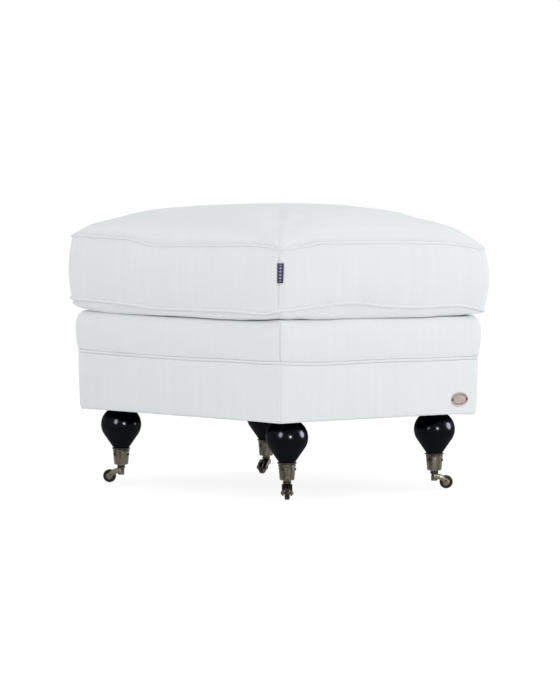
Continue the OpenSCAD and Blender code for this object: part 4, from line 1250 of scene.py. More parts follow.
    def in_groove(self, point: Vector) -> float:
        """How far a point of the back lies inside the zip's place, from 0 to 1."""
        across = (abs(point.z - self.zip_z()) - self.opening) / self.opening_soft[1]
        along = (abs(point.x) - self.zip_length / 2) / self.opening_soft[0]
        away = max(0.0, min(1.0, max(across, along)))
        return 1 - away * away * (3 - 2 * away)

    def settle(self, bm: Shape) -> None:
        """Swells the skin as its cloth settles, held by its seams, its zip and what it rests on."""
        seams = [self.seam(station, top) for station in STATIONS for top in (False, True)]
        for station in STATIONS:
            if station.bend and station.share == 0.5:
                low, high = self.seam(station, False), self.seam(station, True)
                seams += [low.lerp(high, step / 14) for step in range(15)]
        for vert, move in zip(bm.verts, Settling().moves(bm, seams)):
            at_zip = self.in_groove(vert.co) if vert.co.y > self.plan.half_y - 4 else 0.0
            after = vert.co + move * (1 - at_zip)
            if vert.co.z < self.low_seam:
                after.z = max(vert.co.z, after.z, self.base.rest_height(after) + self.rest_gap)
            vert.co = after

    def build(self, shop: Workshop) -> None:
        """Makes the cushion's pieces."""
        rings = self.rings()
        skin = []
        for zone, value in rings:
            if zone is Zone.WALL:
                skin.append([self.wall(station, value) for station in STATIONS])
                continue
            top = zone is Zone.CROWN
            reach = self.even_reach * (1 - value) ** 0.8
            waves = (self.top_wave if top else self.low_wave).eased(self.plan, reach)
            skin.append([self.panel(station, value, top, wave) for station, wave in zip(STATIONS, waves)])
        loft = Loft(skin)
        loft.close(self.bottom, self.top_seam + self.crown)
        runs = self.plan.runs()
        walls = [index for index, (zone, _) in enumerate(rings) if zone is Zone.WALL]

        def cloth(_ring: int, station: float, co: Vector, low: int) -> Pair:
            """Boxing runs along the side, panels lie flat."""
            if walls[0] <= low < walls[-1]:
                return runs[int(station)] * MM, co.z * MM
            return co.x * MM, co.y * MM

        loft.map_cloth(cloth)
        cover = loft.solid()
        self.settle(cover)
        box = shop.piece(cover, "box_cushion", "cushion", "cover_cloth", "cushion_cover", crease=50)
        for top, name in ((True, "top"), (False, "bottom")):
            line = [self.seam(station, top) for station in STATIONS]
            shop.piece(tube(line, self.piping[top]), f"{name}_piping", "cushion", "cover_cloth",
                       f"cushion_piping_{name}")


@dataclass
class Platform:
    """What the covers hide: webbing, hessian, platform padding, edge roll, and the cushion's filling."""

    base: BaseCover
    cushion: Cushion
    web_w: float = 50.0
    web_t: float = 1.5
    web_gap: float = 0.1
    rail_top: float = 245.1
    inner_x: float = 235.0
    inner_y: float = 185.0
    reach_back: float = 22.0
    roll_w: float = 42.0
    pad_foot: float = 249.4
    pad_top: float = 282.4
    roll_out: float = 0.4
    roll_foot: float = 258.6
    roll_arc: Pair = (11.4, 23.4)
    core_h: float = 88.2
    core_up: float = 3.0
    core_inset: float = 23.0
    core_room: float = 0.3
    core_round: float = 7.0

    def strap(self, reach: float, rail: float, crossings: Sequence[float], first: int) -> Shape:
        """A strap along X that passes over and under the straps that cross it.

        Args:
            reach: how far its ends lie from the middle.
            rail: where it leaves its rails.
            crossings: where the others cross it.
            first: 0 where it passes over the first of them, 1 where it passes under.

        Returns:
            The strap.
        """
        rest = self.rail_top + self.web_t / 2
        middle = self.rail_top + self.web_t + 1.5 * self.web_gap
        swing = (self.web_t + self.web_gap) / 2
        line = [(-reach, rest), (2 - rail, rest)]
        for number, place in enumerate(crossings):
            level = middle + (swing if (number + first) % 2 == 0 else -swing)
            line += [(place - self.web_w / 2 - 1, level), (place + self.web_w / 2 + 1, level)]
        line += [(rail - 2, rest), (reach, rest)]
        half_w, half_t = self.web_w / 2, self.web_t / 2 - 0.02
        under = [(-half_w, -0.4 * half_t), (-half_w + 0.5, -half_t), (0, -half_t), (half_w - 0.5, -half_t),
                 (half_w, -0.4 * half_t)]
        section = under + [(y, -z) for y, z in reversed(under)]
        rings = []
        steps = 90
        for step in range(steps + 1):
            x = -reach + 2 * reach * step / steps
            z = curve_flat(line, x)
            rings.append([Vector((x, y, z + t)) for y, t in section])
        loft = Loft(rings)
        loft.flat_ends()
        loft.map_plan()
        return loft.solid()

    def webbing(self, shop: Workshop) -> None:
        """The woven straps over the frame."""
        across = [(i - 2) * 2 * self.inner_x / 5.3 for i in range(5)]
        along = [(i - 1.5) * 2 * self.inner_y / 4.3 for i in range(4)]
        for name, places, reach, rail, crossings, first, quarter in (
                ("long", along, self.inner_x + self.reach_back - 5, self.inner_x, across, 0, 0),
                ("cross", across, self.inner_y + self.reach_back - 5, self.inner_y, along, 1, 90)):
            straps = []
            for number, place in enumerate(places):
                strap = self.strap(reach, rail, crossings, first + number)
                move = shift(y=place) if quarter == 0 else shift(x=place) @ turn(90)
                straps.append(placed(strap, move))
            piece = shop.piece(join(straps), f"webbing_straps_{name}", "base", "jute_webbing",
                               f"webbing_{name}")

    def padding(self, shop: Workshop) -> None:
        """Hessian, platform padding and edge roll."""
        bm = copied("hessian")
        cut_grid(bm, 24.0)
        map_flat(bm)
        hessian = shop.piece(bm, "hessian_sheet", "base", "hessian_cloth", "hessian")
        foot, top = self.pad_foot, self.pad_top
        half_x, half_y = (inner + self.reach_back - self.roll_w - 0.3 for inner in (self.inner_x, self.inner_y))
        block = bar((2 * half_x, 2 * half_y, top - foot), (0, 0, (top + foot) / 2), 4.0, 4)
        pad = shop.piece(block, "platform_padding", "base", "seat_foam", "deck_pad")
        section = [(-46.7, foot + 2), (-45, foot + 0.2), (-8, foot + 0.2), (-5.3, foot + 2), (-5.2, 264),
                   (-5.2, 277.5)]
        wide, tall = self.roll_arc
        for angle in (60, 68, 76, 84, 90):
            a = math.radians(angle)
            section.append((self.roll_out - wide * (1 - math.cos(a)), self.roll_foot + tall * math.sin(a)))
        section += [(-30, 282), (-45, 282), (-46.7, 280.2)]
        plan = self.base.plan

        def place(station: Station, out: float, height: float) -> Vector:
            """A point of the edge roll."""
            point = plan.place(station, out)[0]
            rise = self.base.gap_wave.at(plan.place(station)[0], plan) if height > 270 else 0.0
            point.z = height + min(rise, 0.0) + 0.6 * max(rise, 0.0) * max(0.0, 1 + out / 60)
            return point

        roll = shop.piece(Loft(sweep(section, place), loop=True).solid(), "soft_edge_roll", "base", "seat_foam",
                          "edge_roll")

    def filling(self, shop: Workshop) -> None:
        """The cushion's foam core and the wadding round it."""
        c = self.cushion

        def block(room: float) -> Shape:
            """The core's block, with room all round it."""
            inset = self.core_inset - room
            return bar((2 * (c.plan.half_x - inset), 2 * (c.plan.half_y - inset), self.core_h + 2 * room),
                       (0, 0, c.low_seam + self.core_up + self.core_h / 2), self.core_round, 4)

        foam = shop.piece(block(0), "foam_core", "cushion", "seat_foam", "cushion_core")
        plan = Plan(c.plan.half_x - 4, c.plan.half_y - 4, 12, 4)
        levels = [(0.8, c.bottom + 3.6, 0, 0), (0.93, c.bottom + 6, 0, 0), (0.99, c.low_seam, 0.6, 0),
                  (1.0, c.low_seam + 6, 0.8, 0), (1.0, (c.low_seam + c.top_seam) / 2, 0, 0),
                  (1.0, c.top_seam - 9, 0, 0.8), (0.99, c.top_seam - 4.5, 0, 1.0)]
        levels += [(q, 0.0, 0, 1) for q in (0.96, 0.92, 0.86, 0.78, 0.68, 0.56, 0.42, 0.28, 0.14)]

        def place(station: Station, share: float, height: float, low: float, high: float) -> Vector:
            """A point of the wadding; a height of 0 means on its crown."""
            edge = plan.place(station)[0]
            full = c.full(edge, share, c.fullness)
            level = height or c.top_seam - 4.5 + (c.crown - c.lip - 1) * full
            fade = share ** 2 if not height else 1.0
            rise = low * c.low_wave.at(edge, c.plan) + high * c.top_wave.at(edge, c.plan) * fade
            return Vector((edge.x * share, edge.y * share, level + min(rise, 4.0)))

        skin = closed_skin(sweep(levels, place), c.bottom + 3.6, c.top_seam + c.crown - 5.5)
        room = block(self.core_room)
        bmesh.ops.reverse_faces(room, faces=room.faces)
        wadding = shop.piece(join([skin, room]), "wadding_wrap", "cushion", "fibre_wadding", "cushion_wadding")

    def build(self, shop: Workshop) -> None:
        """Makes what the covers hide."""
        self.webbing(shop)
        self.padding(shop)
        self.filling(shop)


# ---- Legs and castors

@dataclass
class Leg:
    """A turned leg: a bulb on one arc, a straight taper and a spigot in the cup."""

    corner: int
    axis_x: float = 216.0
    axis_y: float = 159.0
    bulb_arc: float = 30.0
    arc_middle: Pair = (3.9, 97.9)
    neck: Pair = (13.2, 58.6)
    spigot: Pair = (10.59, 35.7)
    top: Pair = (22.0, 125.68)

    @property
    def name(self) -> str:
        """The corner's name."""
        return CORNERS[self.corner]

    def place(self) -> Matrix:
        """Where the leg's axis stands."""
        sx, sy = CORNER_SIGNS[self.corner]
        return shift(sx * self.axis_x, sy * self.axis_y)

    def build(self, shop: Workshop) -> None:
        """Turns the leg."""
        cx, cz = self.arc_middle
        reach = Vector((cx - self.neck[0], cz - self.neck[1]))
        tangent = math.atan2(reach.y, reach.x) - math.asin(self.bulb_arc / reach.length) - math.pi / 2
        last = math.acos((self.top[0] - cx) / self.bulb_arc)
        foot_r, foot = self.spigot
        neck_r, neck = self.neck
        profile = [(0, foot), (foot_r - 0.6, foot), (foot_r, foot + 0.6), (neck_r - 0.1, neck - 0.6), self.neck]
        steps = 34
        for step in range(steps + 1):
            a = tangent + (last - tangent) * step / steps
            profile.append((cx + self.bulb_arc * math.cos(a), cz + self.bulb_arc * math.sin(a)))
        profile += [self.top, (0, self.top[1])]
        shop.piece(placed(lathe(profile, 112), self.place()), f"turned_leg_{self.name}", "base", "leg_lacquer",
                   f"leg_{self.name}", crease=30)


@dataclass
class Castor:
    """A cup castor: tapered cup with its screws, curved horn with hub and collar, and a turned wheel."""

    leg: Leg
    heading: float
    screw_turn: float
    foot: float = 30.0
    rim_z: float = 58.5
    foot_r: float = 11.8
    top_r: float = 14.2
    rim_r: float = 15.9
    wall: float = 1.5
    floor_t: float = 2.5
    pin_r: float = 3.06
    screw_up: float = 17.4
    trail: float = 19.5
    axle_z: float = 11.0
    bend_x: float = 3.0
    bend_r: float = 19.83
    band_w: float = 8.4
    arm_in: float = 5.0
    arm_out: float = 8.5
    arm_soft: float = 0.7
    hub_bore: float = 3.02
    hub_r: float = 5.4
    hub_foot: float = 12.7
    collar_r: float = 6.9
    collar_z: float = 24.6
    collar_top: float = 28.6
    wheel_r: float = 11.0
    wheel_w: float = 8.5
    axle_r: float = 2.06

    def side_r(self, z: float) -> float:
        """The cup's outer radius at a height."""
        return self.foot_r + (self.top_r - self.foot_r) * (z - self.foot) / (self.rim_z - 2 - self.foot)

    def cup(self, shop: Workshop) -> None:
        """The cup, closed round its wall."""
        foot, bead, rim, top_r, rim_r = self.foot, self.rim_z - 5.5, self.rim_z, self.top_r, self.rim_r
        floor, at_bead = foot + self.floor_t, self.side_r(bead)
        profile = [(self.pin_r, foot), (self.foot_r - 1.4, foot), (self.foot_r - 0.6, foot + 0.15),
                   (self.foot_r - 0.1, foot + 0.7), (self.side_r(foot + 1.4), foot + 1.4)]
        profile += [(self.side_r(z), z) for z in (foot + 8, foot + 15, foot + 20.5)]
        profile += [(self.side_r(bead - 1.5) - 0.25, bead - 1.3), (at_bead + 0.1, bead - 0.8),
                    (at_bead + 0.5, bead - 0.3), (at_bead + 0.5, bead + 0.3), (at_bead + 0.1, bead + 0.8),
                    (self.side_r(bead + 1.3) - 0.2, bead + 1.3)]
        profile += [(top_r - 0.1, rim - 2.6), (top_r + 0.3, rim - 2.1), (rim_r - 0.5, rim - 1.9),
                    (rim_r, rim - 1.4), (rim_r, rim - 0.7), (rim_r - 0.5, rim - 0.1), (rim_r - 1.1, rim),
                    (top_r - self.wall + 0.5, rim), (top_r - self.wall, rim - 0.5),
                    (self.side_r(floor) - self.wall, floor), (self.pin_r, floor), (self.pin_r, foot)]
        bm = lathe(profile, 80)
        # Painted shade and reflection: the rim and a line under the bead take dark bronze, for the rim's shade
        # and the black bulb it mirrors, and for the bead's shadow; the band between bead and rim takes the
        # darker wheel metal as painted shade under the bulb.
        for face in bm.faces:
            z = face.calc_center_median().z
            face.material_index = 1 if z > rim - 2.2 or abs(z - bead + 1.2) < 0.5 else 2 * int(z > bead + 0.9)
        shop.piece(placed(bm, self.leg.place()), f"brass_cup_{self.leg.name}", "base",
                   ["antique_brass", "dark_bronze", "castor_wheel_metal"], f"castor_cup_{self.leg.name}",
                   crease=38)

    def screws(self) -> list[Shape]:
        """The cup's three slotted screws."""
        seat = self.side_r(self.foot + self.screw_up + 2.2) + 0.02
        found = []
        for number in range(3):
            head = slotted_head(2.2, 1.2, 6.0)
            spin = turn(self.screw_turn + 120 * number)
            found.append(placed(head, self.leg.place() @ spin @ shift(seat, 0, self.foot + self.screw_up)
                                @ turn(90, "Y") @ turn(25 + 50 * number)))
        return found

    def horn(self, shop: Workshop) -> None:
        """The horn: collar, hub, two curved arms, the crown that joins them and their bosses."""
        foot, low, top = self.hub_foot, self.collar_z, self.collar_top
        bore, hub_r, collar_r = self.hub_bore, self.hub_r, self.collar_r
        hub = lathe([(bore, foot), (hub_r - 0.7, foot), (hub_r, foot + 0.7), (hub_r, low - 0.8),
                     (hub_r + 0.4, low - 0.2), (collar_r - 0.5, low), (collar_r, low + 0.5),
                     (collar_r, top - 1.7), (collar_r - 0.7, top - 1.3), (collar_r - 0.7, top - 0.7),
                     (collar_r - 0.1, top - 0.2), (collar_r - 0.3, top), (bore, top), (bore, foot)], 56)
        shapes, soft = [hub], self.arm_soft
        start = math.degrees(math.atan2(self.axle_z, self.trail - self.bend_x))
        for side in (-1, 1):
            inner, outer = side * self.arm_in, side * self.arm_out
            shapes.append(self.arc(start, 100, min(inner, outer), max(inner, outer), 26))
            boss = lathe([(self.axle_r, -1.6), (4.2, -1.6), (4.6, -1.2), (4.6, 1.2), (4.2, 1.6), (3.4, 1.6),
                          (3.2, 1.3), (self.axle_r, 1.3), (self.axle_r, -1.6)], 40)
            middle = side * (self.arm_in + self.arm_out) / 2
            shapes.append(placed(boss, shift(self.trail, middle, self.axle_z) @ turn(-90 * side, "X")))
        shapes.append(self.arc(68, 96, soft - self.arm_out, self.arm_out - soft, 18, clear=True))
        whole = join(shapes)
        # Painted shade: the collar, tucked under the cup, and the arms' narrow edges, the fork's crown among
        # them, take dark bronze.
        for face in whole.faces:
            middle = face.calc_center_median()
            neck = middle.z > low - 0.4
            edge = abs(face.normal.y) < 0.6 and math.hypot(middle.x, middle.y) > hub_r + 0.3
            face.material_index = int(neck or edge)
        shop.piece(placed(whole, self.leg.place() @ turn(self.heading)), f"swivel_fork_{self.leg.name}",
                   f"castor_{self.leg.name}", ["antique_brass", "dark_bronze"], f"castor_horn_{self.leg.name}",
                   crease=34)

    def arc(self, start: float, end: float, y0: float, y1: float, steps: int, clear: bool = False) -> Shape:
        """A curved bar with softened edges, in the plane of the wheel.

        Args:
            start: where it starts, in degrees.
            end: where it ends.
            y0: its lowest side.
            y1: its highest side.
            steps: how many steps it takes.
            clear: whether its inside keeps clear of the wheel.

        Returns:
            The bar.
        """
        rings = []
        soft = self.arm_soft
        for step in range(steps + 1):
            a = math.radians(start + (end - start) * step / steps)
            inner, outer = self.bend_r - self.band_w / 2, self.bend_r + self.band_w / 2
            if clear:
                b = self.bend_r * math.cos(a - math.atan2(self.axle_z, self.trail - self.bend_x))
                left = b * b - self.bend_r ** 2 + (self.wheel_r + 1.3) ** 2
                inner = max(inner, b + math.sqrt(left)) if left > 0 else inner
                inner = min(inner, outer - 1.2)
            corners = []
            for r, y, dr, dy in ((inner, y0, 1, 1), (outer, y0, -1, 1), (outer, y1, -1, -1),
                                 (inner, y1, 1, -1)):
                cut = [(r + dr * soft, y), (r + dr * soft * 0.3, y + dy * soft * 0.3), (r, y + dy * soft)]
                corners += cut if dr * dy < 0 else cut[::-1]
            rings.append([Vector((self.bend_x + r * math.cos(a), y, r * math.sin(a))) for r, y in corners])
        loft = Loft(rings)
        loft.flat_ends()
        return loft.solid()

    def wheel(self, shop: Workshop) -> None:
        """The wheel: a dark rounded tread, sunk sides and a lighter hub."""
        w, r, soft = self.wheel_w / 2, self.wheel_r, 2.4
        half = [(self.axle_r, w), (3.6, w), (3.9, w - 0.3), (4.1, w - 1.2), (4.6, w - 1.5), (6.9, w - 1.5),
                (7.4, w - 1.2), (7.7, w - 0.4), (8.1, w)]
        half += [(r - soft + soft * math.sin(a), w - soft + soft * math.cos(a))
                 for a in (math.radians(k) for k in (0, 15, 30, 45, 60, 75, 90))]
        whole = half + [(x, -z) for x, z in reversed(half)] + [half[0]]
        bm = lathe(whole, 72)
        for face in bm.faces:
            face.material_index = int(math.hypot(*face.calc_center_median().xy) > 7.5)
        move = self.leg.place() @ turn(self.heading) @ shift(self.trail, 0, self.axle_z) @ turn(90, "X")
        shop.piece(placed(bm, move), f"castor_roller_{self.leg.name}", f"wheel_{self.leg.name}",
                   ["castor_wheel_metal", "castor_tyre"], f"castor_wheel_{self.leg.name}", crease=32)

    def build(self, shop: Workshop) -> None:
        """Makes the cup, the horn and the wheel."""
        self.cup(shop)
        self.horn(shop)
        self.wheel(shop)


# ---- Trim

@dataclass
class Zip:
    """The zip along the back of the boxing: tape, coil, slider and pull."""

    length: float
    level: float
    tape_w: float = 26.0
    tape_y: float = 222.9
    tape_t: float = 0.6
    coil_w: float = 4.4
    coil_t: float = 1.3
    pitch: float = 1.75
    slider_x: float = 181.5
    slider_l: float = 11.0
    slider_w: float = 8.6
    bail_y: float = 227.4

    def tape(self, shop: Workshop) -> None:
        """The tape, cut across into cells along its length."""
        tape = bar((self.length, self.tape_t, self.tape_w), (0, self.tape_y + self.tape_t / 2, self.level),
                   0.15, 1)
        cells = 40
        for step in range(1, cells):
            bmesh.ops.bisect_plane(tape, geom=tape.verts[:] + tape.edges[:] + tape.faces[:],
                                   plane_co=(self.length * (step / cells - 0.5), 0, 0), plane_no=(1, 0, 0))
        map_flat(tape, up=2)
        piece = shop.piece(tape, "zip_tape_woven", "cushion", "zip_tape", "cushion_zip")

    def coil(self, shop: Workshop) -> None:
        """The coil's turns, and a stop at each end."""
        y = self.tape_y + self.tape_t + self.coil_t / 2 + 0.02
        count = int((self.length - 8) / self.pitch)
        turns = []
        for number in range(count):
            x = (number - (count - 1) / 2) * self.pitch
            for side in (-1, 1):
                tooth = bar((1.15, self.coil_t, self.coil_w / 2 + 0.5), (0, 0, 0), 0.3, 1)
                move = shift(x + side * self.pitch / 4, y, self.level + side * self.coil_w * 0.2)
                turns.append(placed(tooth, move @ turn(side * 8, "Y")))
        for side in (-1, 1):
            turns.append(bar((3, self.coil_t + 0.5, self.coil_w + 1.6),
                             (side * (self.length / 2 - 1.5), y + 0.25, self.level), 0.4, 2))
        shop.piece(join(turns), "zip_coil", "cushion", "zip_tape", "cushion_zip")

    def slider(self, shop: Workshop) -> None:
        """The slider: a plate with side flanges and a bail."""
        foot = self.tape_y + self.tape_t + 0.25
        top = foot + self.coil_t + 0.25 + 0.65
        shapes = [bar((self.slider_l, 0.9, self.slider_w), (0, top - 0.2, 0), 0.35, 2)]
        for side in (-1, 1):
            shapes.append(bar((self.slider_l - 1, top - foot, 1.5), (0, (top + foot) / 2, side * 3.4), 0.3, 2))
            shapes.append(bar((1.3, self.bail_y - top + 0.9, 1.3),
                              (side * (self.slider_l / 2 - 2), (self.bail_y + top) / 2 + 0.05, 0), 0.3, 2))
        rod = lathe([(0, -3.4), (0.6, -3.4), (0.6, 3.4), (0, 3.4)], 20)
        shapes.append(placed(rod, shift(0, self.bail_y, 0) @ turn(90, "Y")))
        shop.piece(placed(join(shapes), shift(self.slider_x, 0, self.level)), "zip_runner", "zip_slider",
                   "nickel", "zip_slider")

    def pull(self, shop: Workshop) -> None:
        """The pull tab: an eye on the bail and a waisted tab."""
        eye_l = self.slider_l - 4 - 1.3 - 0.6
        eye = lathe([(0.66, -eye_l / 2), (1.05, -eye_l / 2), (1.25, -eye_l / 2 + 0.2), (1.25, eye_l / 2 - 0.2),
                     (1.05, eye_l / 2), (0.66, eye_l / 2), (0.66, -eye_l / 2)], 28)
        loft = Loft([[Vector((x, y, z)) for x, z in self.tab(wider)]
                     for y, wider in ((-0.5, -0.3), (-0.25, 0.0), (0.25, 0.0), (0.5, -0.3))])
        loft.flat_ends()
        whole = join([placed(eye, turn(90, "Y")), loft.solid()])
        shop.piece(placed(whole, shift(self.slider_x, self.bail_y, self.level)), "zip_pull_tab", "zip_pull",
                   "nickel", "zip_pull")

    def tab(self, wider: float) -> list[Pair]:
        """The tab's outline: narrow at the eye, wide and round at its end."""
        right = [(1.9, -1.2), (1.8, -3.2), (2.1, -5), (2.7, -7), (3.0, -9), (2.95, -10.6), (2.5, -12),
                 (1.7, -13), (0.7, -13.45)]
        right = [(x + wider, z + (0.0 if z > -2 else -wider * 0.7 * z / 13.5)) for x, z in right]
        return right + [(-x, z) for x, z in reversed(right)]

    def build(self, shop: Workshop) -> None:
        """Makes the zip."""
        self.tape(shop)
        self.coil(shop)
        self.slider(shop)
        self.pull(shop)


@dataclass
class Tag:
    """The woven tag that is caught in the cushion's near corner seam and lies over to the right."""

    centre: Pair = (260.5, -211.5)
    foot: float = 346.0
    height: float = 31.0
    thick: float = 0.9
    line: Points = ((-1.0, 15.6), (-1.9, 17.2), (-2.1, 18.3), (-1.5, 19.0), (0.0, 19.2), (2.3, 18.9),
                    (4.6, 18.4), (6.5, 17.9), (8.0, 17.4))

    def outline(self, up: float) -> list[Vector]:
        """The tag's section at a share of its height: the leaf's two faces, one after the other."""
        lean = 0.5 * (1 - up) - 0.6 * (1 - up) ** 2
        near, far = [], []
        for number, (across, out) in enumerate(self.line):
            before, after = self.line[max(number - 1, 0)], self.line[min(number + 1, len(self.line) - 1)]
            along = Vector((after[0] - before[0], after[1] - before[1])).normalized()
            free = number / (len(self.line) - 1)
            narrow = (1 - up) * 1.3 * free
            lift = 0.5 * free * (1 - up) + lean * free
            middle = Vector((across - narrow, out + lift + 0.3 * free * narrow))
            side = Vector((-along.y, along.x)) * self.thick / 2
            near.append(middle + side)
            far.append(middle - side)
        cx, cy = self.centre
        d = math.sqrt(0.5)
        return [Vector((cx + (p.y + p.x) * d, cy + (-p.y + p.x) * d, self.foot + up * self.height))
                for p in near + far[::-1]]

    def build(self, shop: Workshop) -> None:
        """Weaves the tag."""
        steps = 16
        loft = Loft([self.outline(step / steps) for step in range(steps + 1)])
        loft.flat_ends()
        count = len(self.line)
        loft.map_cloth(lambda ring, station, _co, _low: (
            (station if station < count else 2 * count - 1 - station) / (count - 1), ring / steps))
        tag = shop.piece(loft.solid(), "seam_tag", "cushion", "tag_weave", "label_tag", crease=50)


@dataclass
class Plate:
    """The blank oval plate: a raised rim, an oval line cut in its face, and two small nails."""

    base: BaseCover
    length: float = 37.0
    height: float = 23.2
    middle_y: float = 170.6
    up: float = 24.2
    nail_in: float = 2.9

    def place(self) -> Matrix:
        """Where the plate's back lies on the lower band; Z points out of the cloth."""
        base = self.base
        lean = math.degrees(math.atan2(base.lean, base.lower_top - base.foot))
        return (shift(base.plan.half_x - base.lean, self.middle_y, base.foot) @ turn(lean, "Y")
                @ shift(0.02, 0, self.up) @ turn(90, "Y") @ turn(90))

    def build(self, shop: Workshop) -> None:
        """Presses the plate and drives its nails."""
        profile = [(1.2, 0.05), (0.15, 0.05), (0, 0.3), (0, 1.0), (0.25, 1.45), (0.8, 1.7), (1.35, 1.5),
                   (1.7, 1.15), (2.3, 1.1), (3.3, 1.12), (3.55, 0.9), (4.1, 0.9), (4.35, 1.14), (5.2, 1.18),
                   (7, 1.22), (9.5, 1.25)]
        # Painted shade: the plate's outer edge and the line cut in its face take the dark finish.
        painted_shade_rings = (0, 1, 2, 9, 10, 11)
        sides = 96
        angles = [math.tau * k / sides for k in range(sides)]
        loft = Loft([[Vector(((self.length / 2 - inset) * math.cos(a), (self.height / 2 - inset) * math.sin(a),
                               level)) for a in angles] for inset, level in profile])
        loft.close(0.05, 1.26)
        oval = loft.solid()
        for face in oval.faces:
            face.material_index = int(min(v[loft.ring] for v in face.verts) in painted_shade_rings)
        shop.piece(placed(oval, self.place()), "oval_plate", "base", ["rose_plate", "rose_plate_dark"],
                   "badge")
        nails = []
        for side in (-1, 1):
            nail = lathe([(0, 2.15), (0.8, 2.08), (1.5, 1.8), (1.95, 1.4), (2.0, 1.2), (1.0, 1.15), (1.0, -7),
                          (0.2, -7.9), (0, -7.9)], 28)
            nails.append(placed(nail, self.place() @ shift(side * (self.length / 2 - self.nail_in))))
        shop.piece(join(nails), "plate_nails", "base", "dark_bronze", "badge_nails", "rose_plate")


# ---- Studio

@dataclass(frozen=True)
class Lamp:
    """A soft box that faces the footstool."""

    name: str
    azimuth: float
    elevation: float
    distance: float
    width: float
    height: float
    level: float
    tint: Triple = (1.0, 1.0, 1.0)


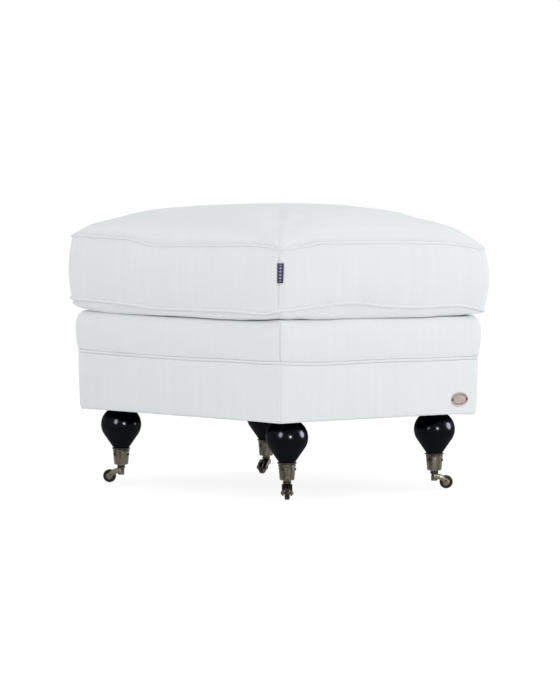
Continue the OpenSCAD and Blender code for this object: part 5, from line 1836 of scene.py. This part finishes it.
@dataclass
class Studio:
    """Camera, lamps, world and floor."""

    azimuth: float = 49.95
    height: float = 0.499
    distance: float = 6.11941
    focal_px: float = 3682.97
    yaw: float = -0.06
    pitch: float = 2.56
    frame_px: float = 700.0
    lamps: tuple[Lamp, ...] = (
        Lamp("left_box", 15, 32, 2.4, 1.1, 1.3, 2.05),
        Lamp("front_lamp", 65, 14, 4.0, 0.9, 0.9, 2.4),
        Lamp("right_box", 132, 24, 2.4, 1.4, 1.5, 2.3),
        Lamp("over_box", 320, 70, 2.6, 1.4, 1.4, 0.75),
    )
    glints: tuple[Lamp, ...] = (
        Lamp("leg_glint_left", 16.5, 16, 3.0, 0.9, 1.4, 70, (0.8, 0.8, 1.0)),
        Lamp("leg_glint_front", 67.5, 6.5, 6.0, 0.9, 0.9, 230),
        Lamp("leg_glint_right", 139, 12, 3.0, 1.4, 1.5, 70, (0.8, 0.8, 1.0)),
    )
    metal_glints: tuple[Lamp, ...] = (
        Lamp("metal_glint_front", 60, 4, 5.0, 0.5, 0.8, 22),
        Lamp("metal_glint_right", 140, 9, 3.0, 0.7, 1.2, 11.0),
    )
    aim_at: Vector = field(default_factory=lambda: Vector((0, 0, 0.2)))
    world_level: float = 0.62
    floor_glow: float = 0.88
    floor_shade: float = 0.2
    floor_white: float = 0.95

    def camera(self) -> None:
        """Puts the camera where the photograph was taken from."""
        a = math.radians(self.azimuth)
        data = bpy.data.cameras.new("camera")
        data.sensor_width = 36.0
        data.lens = self.focal_px * data.sensor_width / self.frame_px
        data.clip_start, data.clip_end = 0.1, 60.0
        camera = stand("camera", data)
        camera.location = (self.distance * math.sin(a), -self.distance * math.cos(a), self.height)
        self.aim(camera, self.azimuth + self.yaw, self.pitch)
        bpy.context.scene.camera = camera

    @staticmethod
    def aim(thing: Object, azimuth: float, elevation: float) -> Vector:
        """Turns a camera or lamp to look in from an azimuth and elevation, and returns the way to it."""
        a, e = math.radians(azimuth), math.radians(elevation)
        away = Vector((math.sin(a) * math.cos(e), -math.cos(a) * math.cos(e), math.sin(e)))
        thing.rotation_mode = "QUATERNION"
        thing.rotation_quaternion = away.to_track_quat("Z", "Y")
        return away

    def light(self, shop: Workshop) -> None:
        """Hangs the lamps, and gives the glossy legs and the castors their glints.

        Args:
            shop: the workshop that made them.
        """
        lit = {}
        for lamps, words in ((self.glints, ("turned_leg",)),
                             (self.metal_glints, ("brass_cup", "swivel_", "castor_"))):
            group = bpy.data.collections.new(lamps[0].name)
            for piece in shop.pieces:
                if piece.name.startswith(words):
                    group.objects.link(piece)
            lit.update({lamp.name: group for lamp in lamps})
        for lamp in self.lamps + self.glints + self.metal_glints:
            data = bpy.data.lights.new(lamp.name, "AREA")
            data.shape = "RECTANGLE" if lamp in self.lamps else "ELLIPSE"
            data.size, data.size_y = lamp.width, lamp.height
            data.color = lamp.tint
            data.energy = lamp.level * math.pi * lamp.width * lamp.height
            box = stand(lamp.name, data)
            box.location = self.aim(box, lamp.azimuth, lamp.elevation) * lamp.distance + self.aim_at
            box.visible_camera = False
            if lamp.name in lit:
                box.visible_diffuse = False
                box.light_linking.receiver_collection = lit[lamp.name]

    def air(self) -> None:
        """Lights the world."""
        world = bpy.data.worlds.new("studio_air")
        world.use_nodes = True
        g = Graph(world.node_tree)
        back = g.tree.nodes["Background"]
        g.put(back, "Strength", g.seen(self.world_level, 1.0))
        g.put(back, "Color", (1, 1, 1, 1))
        bpy.context.scene.world = world

    def floor(self) -> None:
        """Lays a white floor that keeps a faint shadow and is open to a look from below."""
        bm = bmesh.new()
        bmesh.ops.create_circle(bm, cap_ends=True, radius=30.0, segments=96)
        mesh = bpy.data.meshes.new("floor")
        bm.to_mesh(mesh)
        bm.free()
        floor = stand("floor", mesh)
        floor.location.z = -0.0004
        g = Surface("studio_floor")
        glow = g.seen(0.0, self.floor_glow)
        shade = g.seen(self.floor_white, self.floor_shade)
        grey = g.add("CombineColor", {0: shade, 1: shade, 2: shade}).outputs[0]
        under = g.level(g.add("NewGeometry", {}).outputs["Backfacing"], 0, 1, 1, 0)
        mesh.materials.append(g.finish(Base_Color=grey, Roughness=1.0, Specular_IOR_Level=0.0,
                                       Emission_Color=(1, 1, 1, 1), Emission_Strength=glow, Alpha=under))

    def build(self, shop: Workshop) -> None:
        """Sets the studio up.

        Args:
            shop: the workshop that made the pieces.
        """
        self.camera()
        self.light(shop)
        self.air()
        self.floor()
        bpy.context.scene.view_settings.view_transform = "Standard"


def main() -> None:
    """Builds the footstool in its studio."""
    logging.basicConfig(level=logging.INFO, format="%(name)s %(message)s")
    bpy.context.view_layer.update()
    shop = Workshop()
    base = BaseCover()
    cushion = Cushion(base)
    base.build(shop)
    cushion.build(shop)
    Platform(base, cushion).build(shop)
    screws = []
    for number, (heading, screw_turn) in enumerate(zip(HEADINGS, SCREW_TURNS)):
        leg = Leg(number)
        leg.build(shop)
        castor = Castor(leg, heading, screw_turn)
        castor.build(shop)
        screws += castor.screws()
    # The screw heads take dark bronze as painted shade, for the dark recess round each screw.
    shop.piece(join(screws), "slotted_cup_screws", "base", "dark_bronze", "cup_screws", "antique_brass")
    Zip(cushion.zip_length, cushion.zip_z()).build(shop)
    Tag().build(shop)
    Plate(base).build(shop)
    Studio().build(shop)
    for node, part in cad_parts.items():
        if not part.hide_render:
            slot = part.data.materials[0].name
            if slot in shop.palette:
                shop.keep(node, slot + "_cross" * (node in ("rail_left", "rail_right")))
    LOG.info("%d new pieces", len(shop.pieces))


if __name__ == "__main__":
    main()
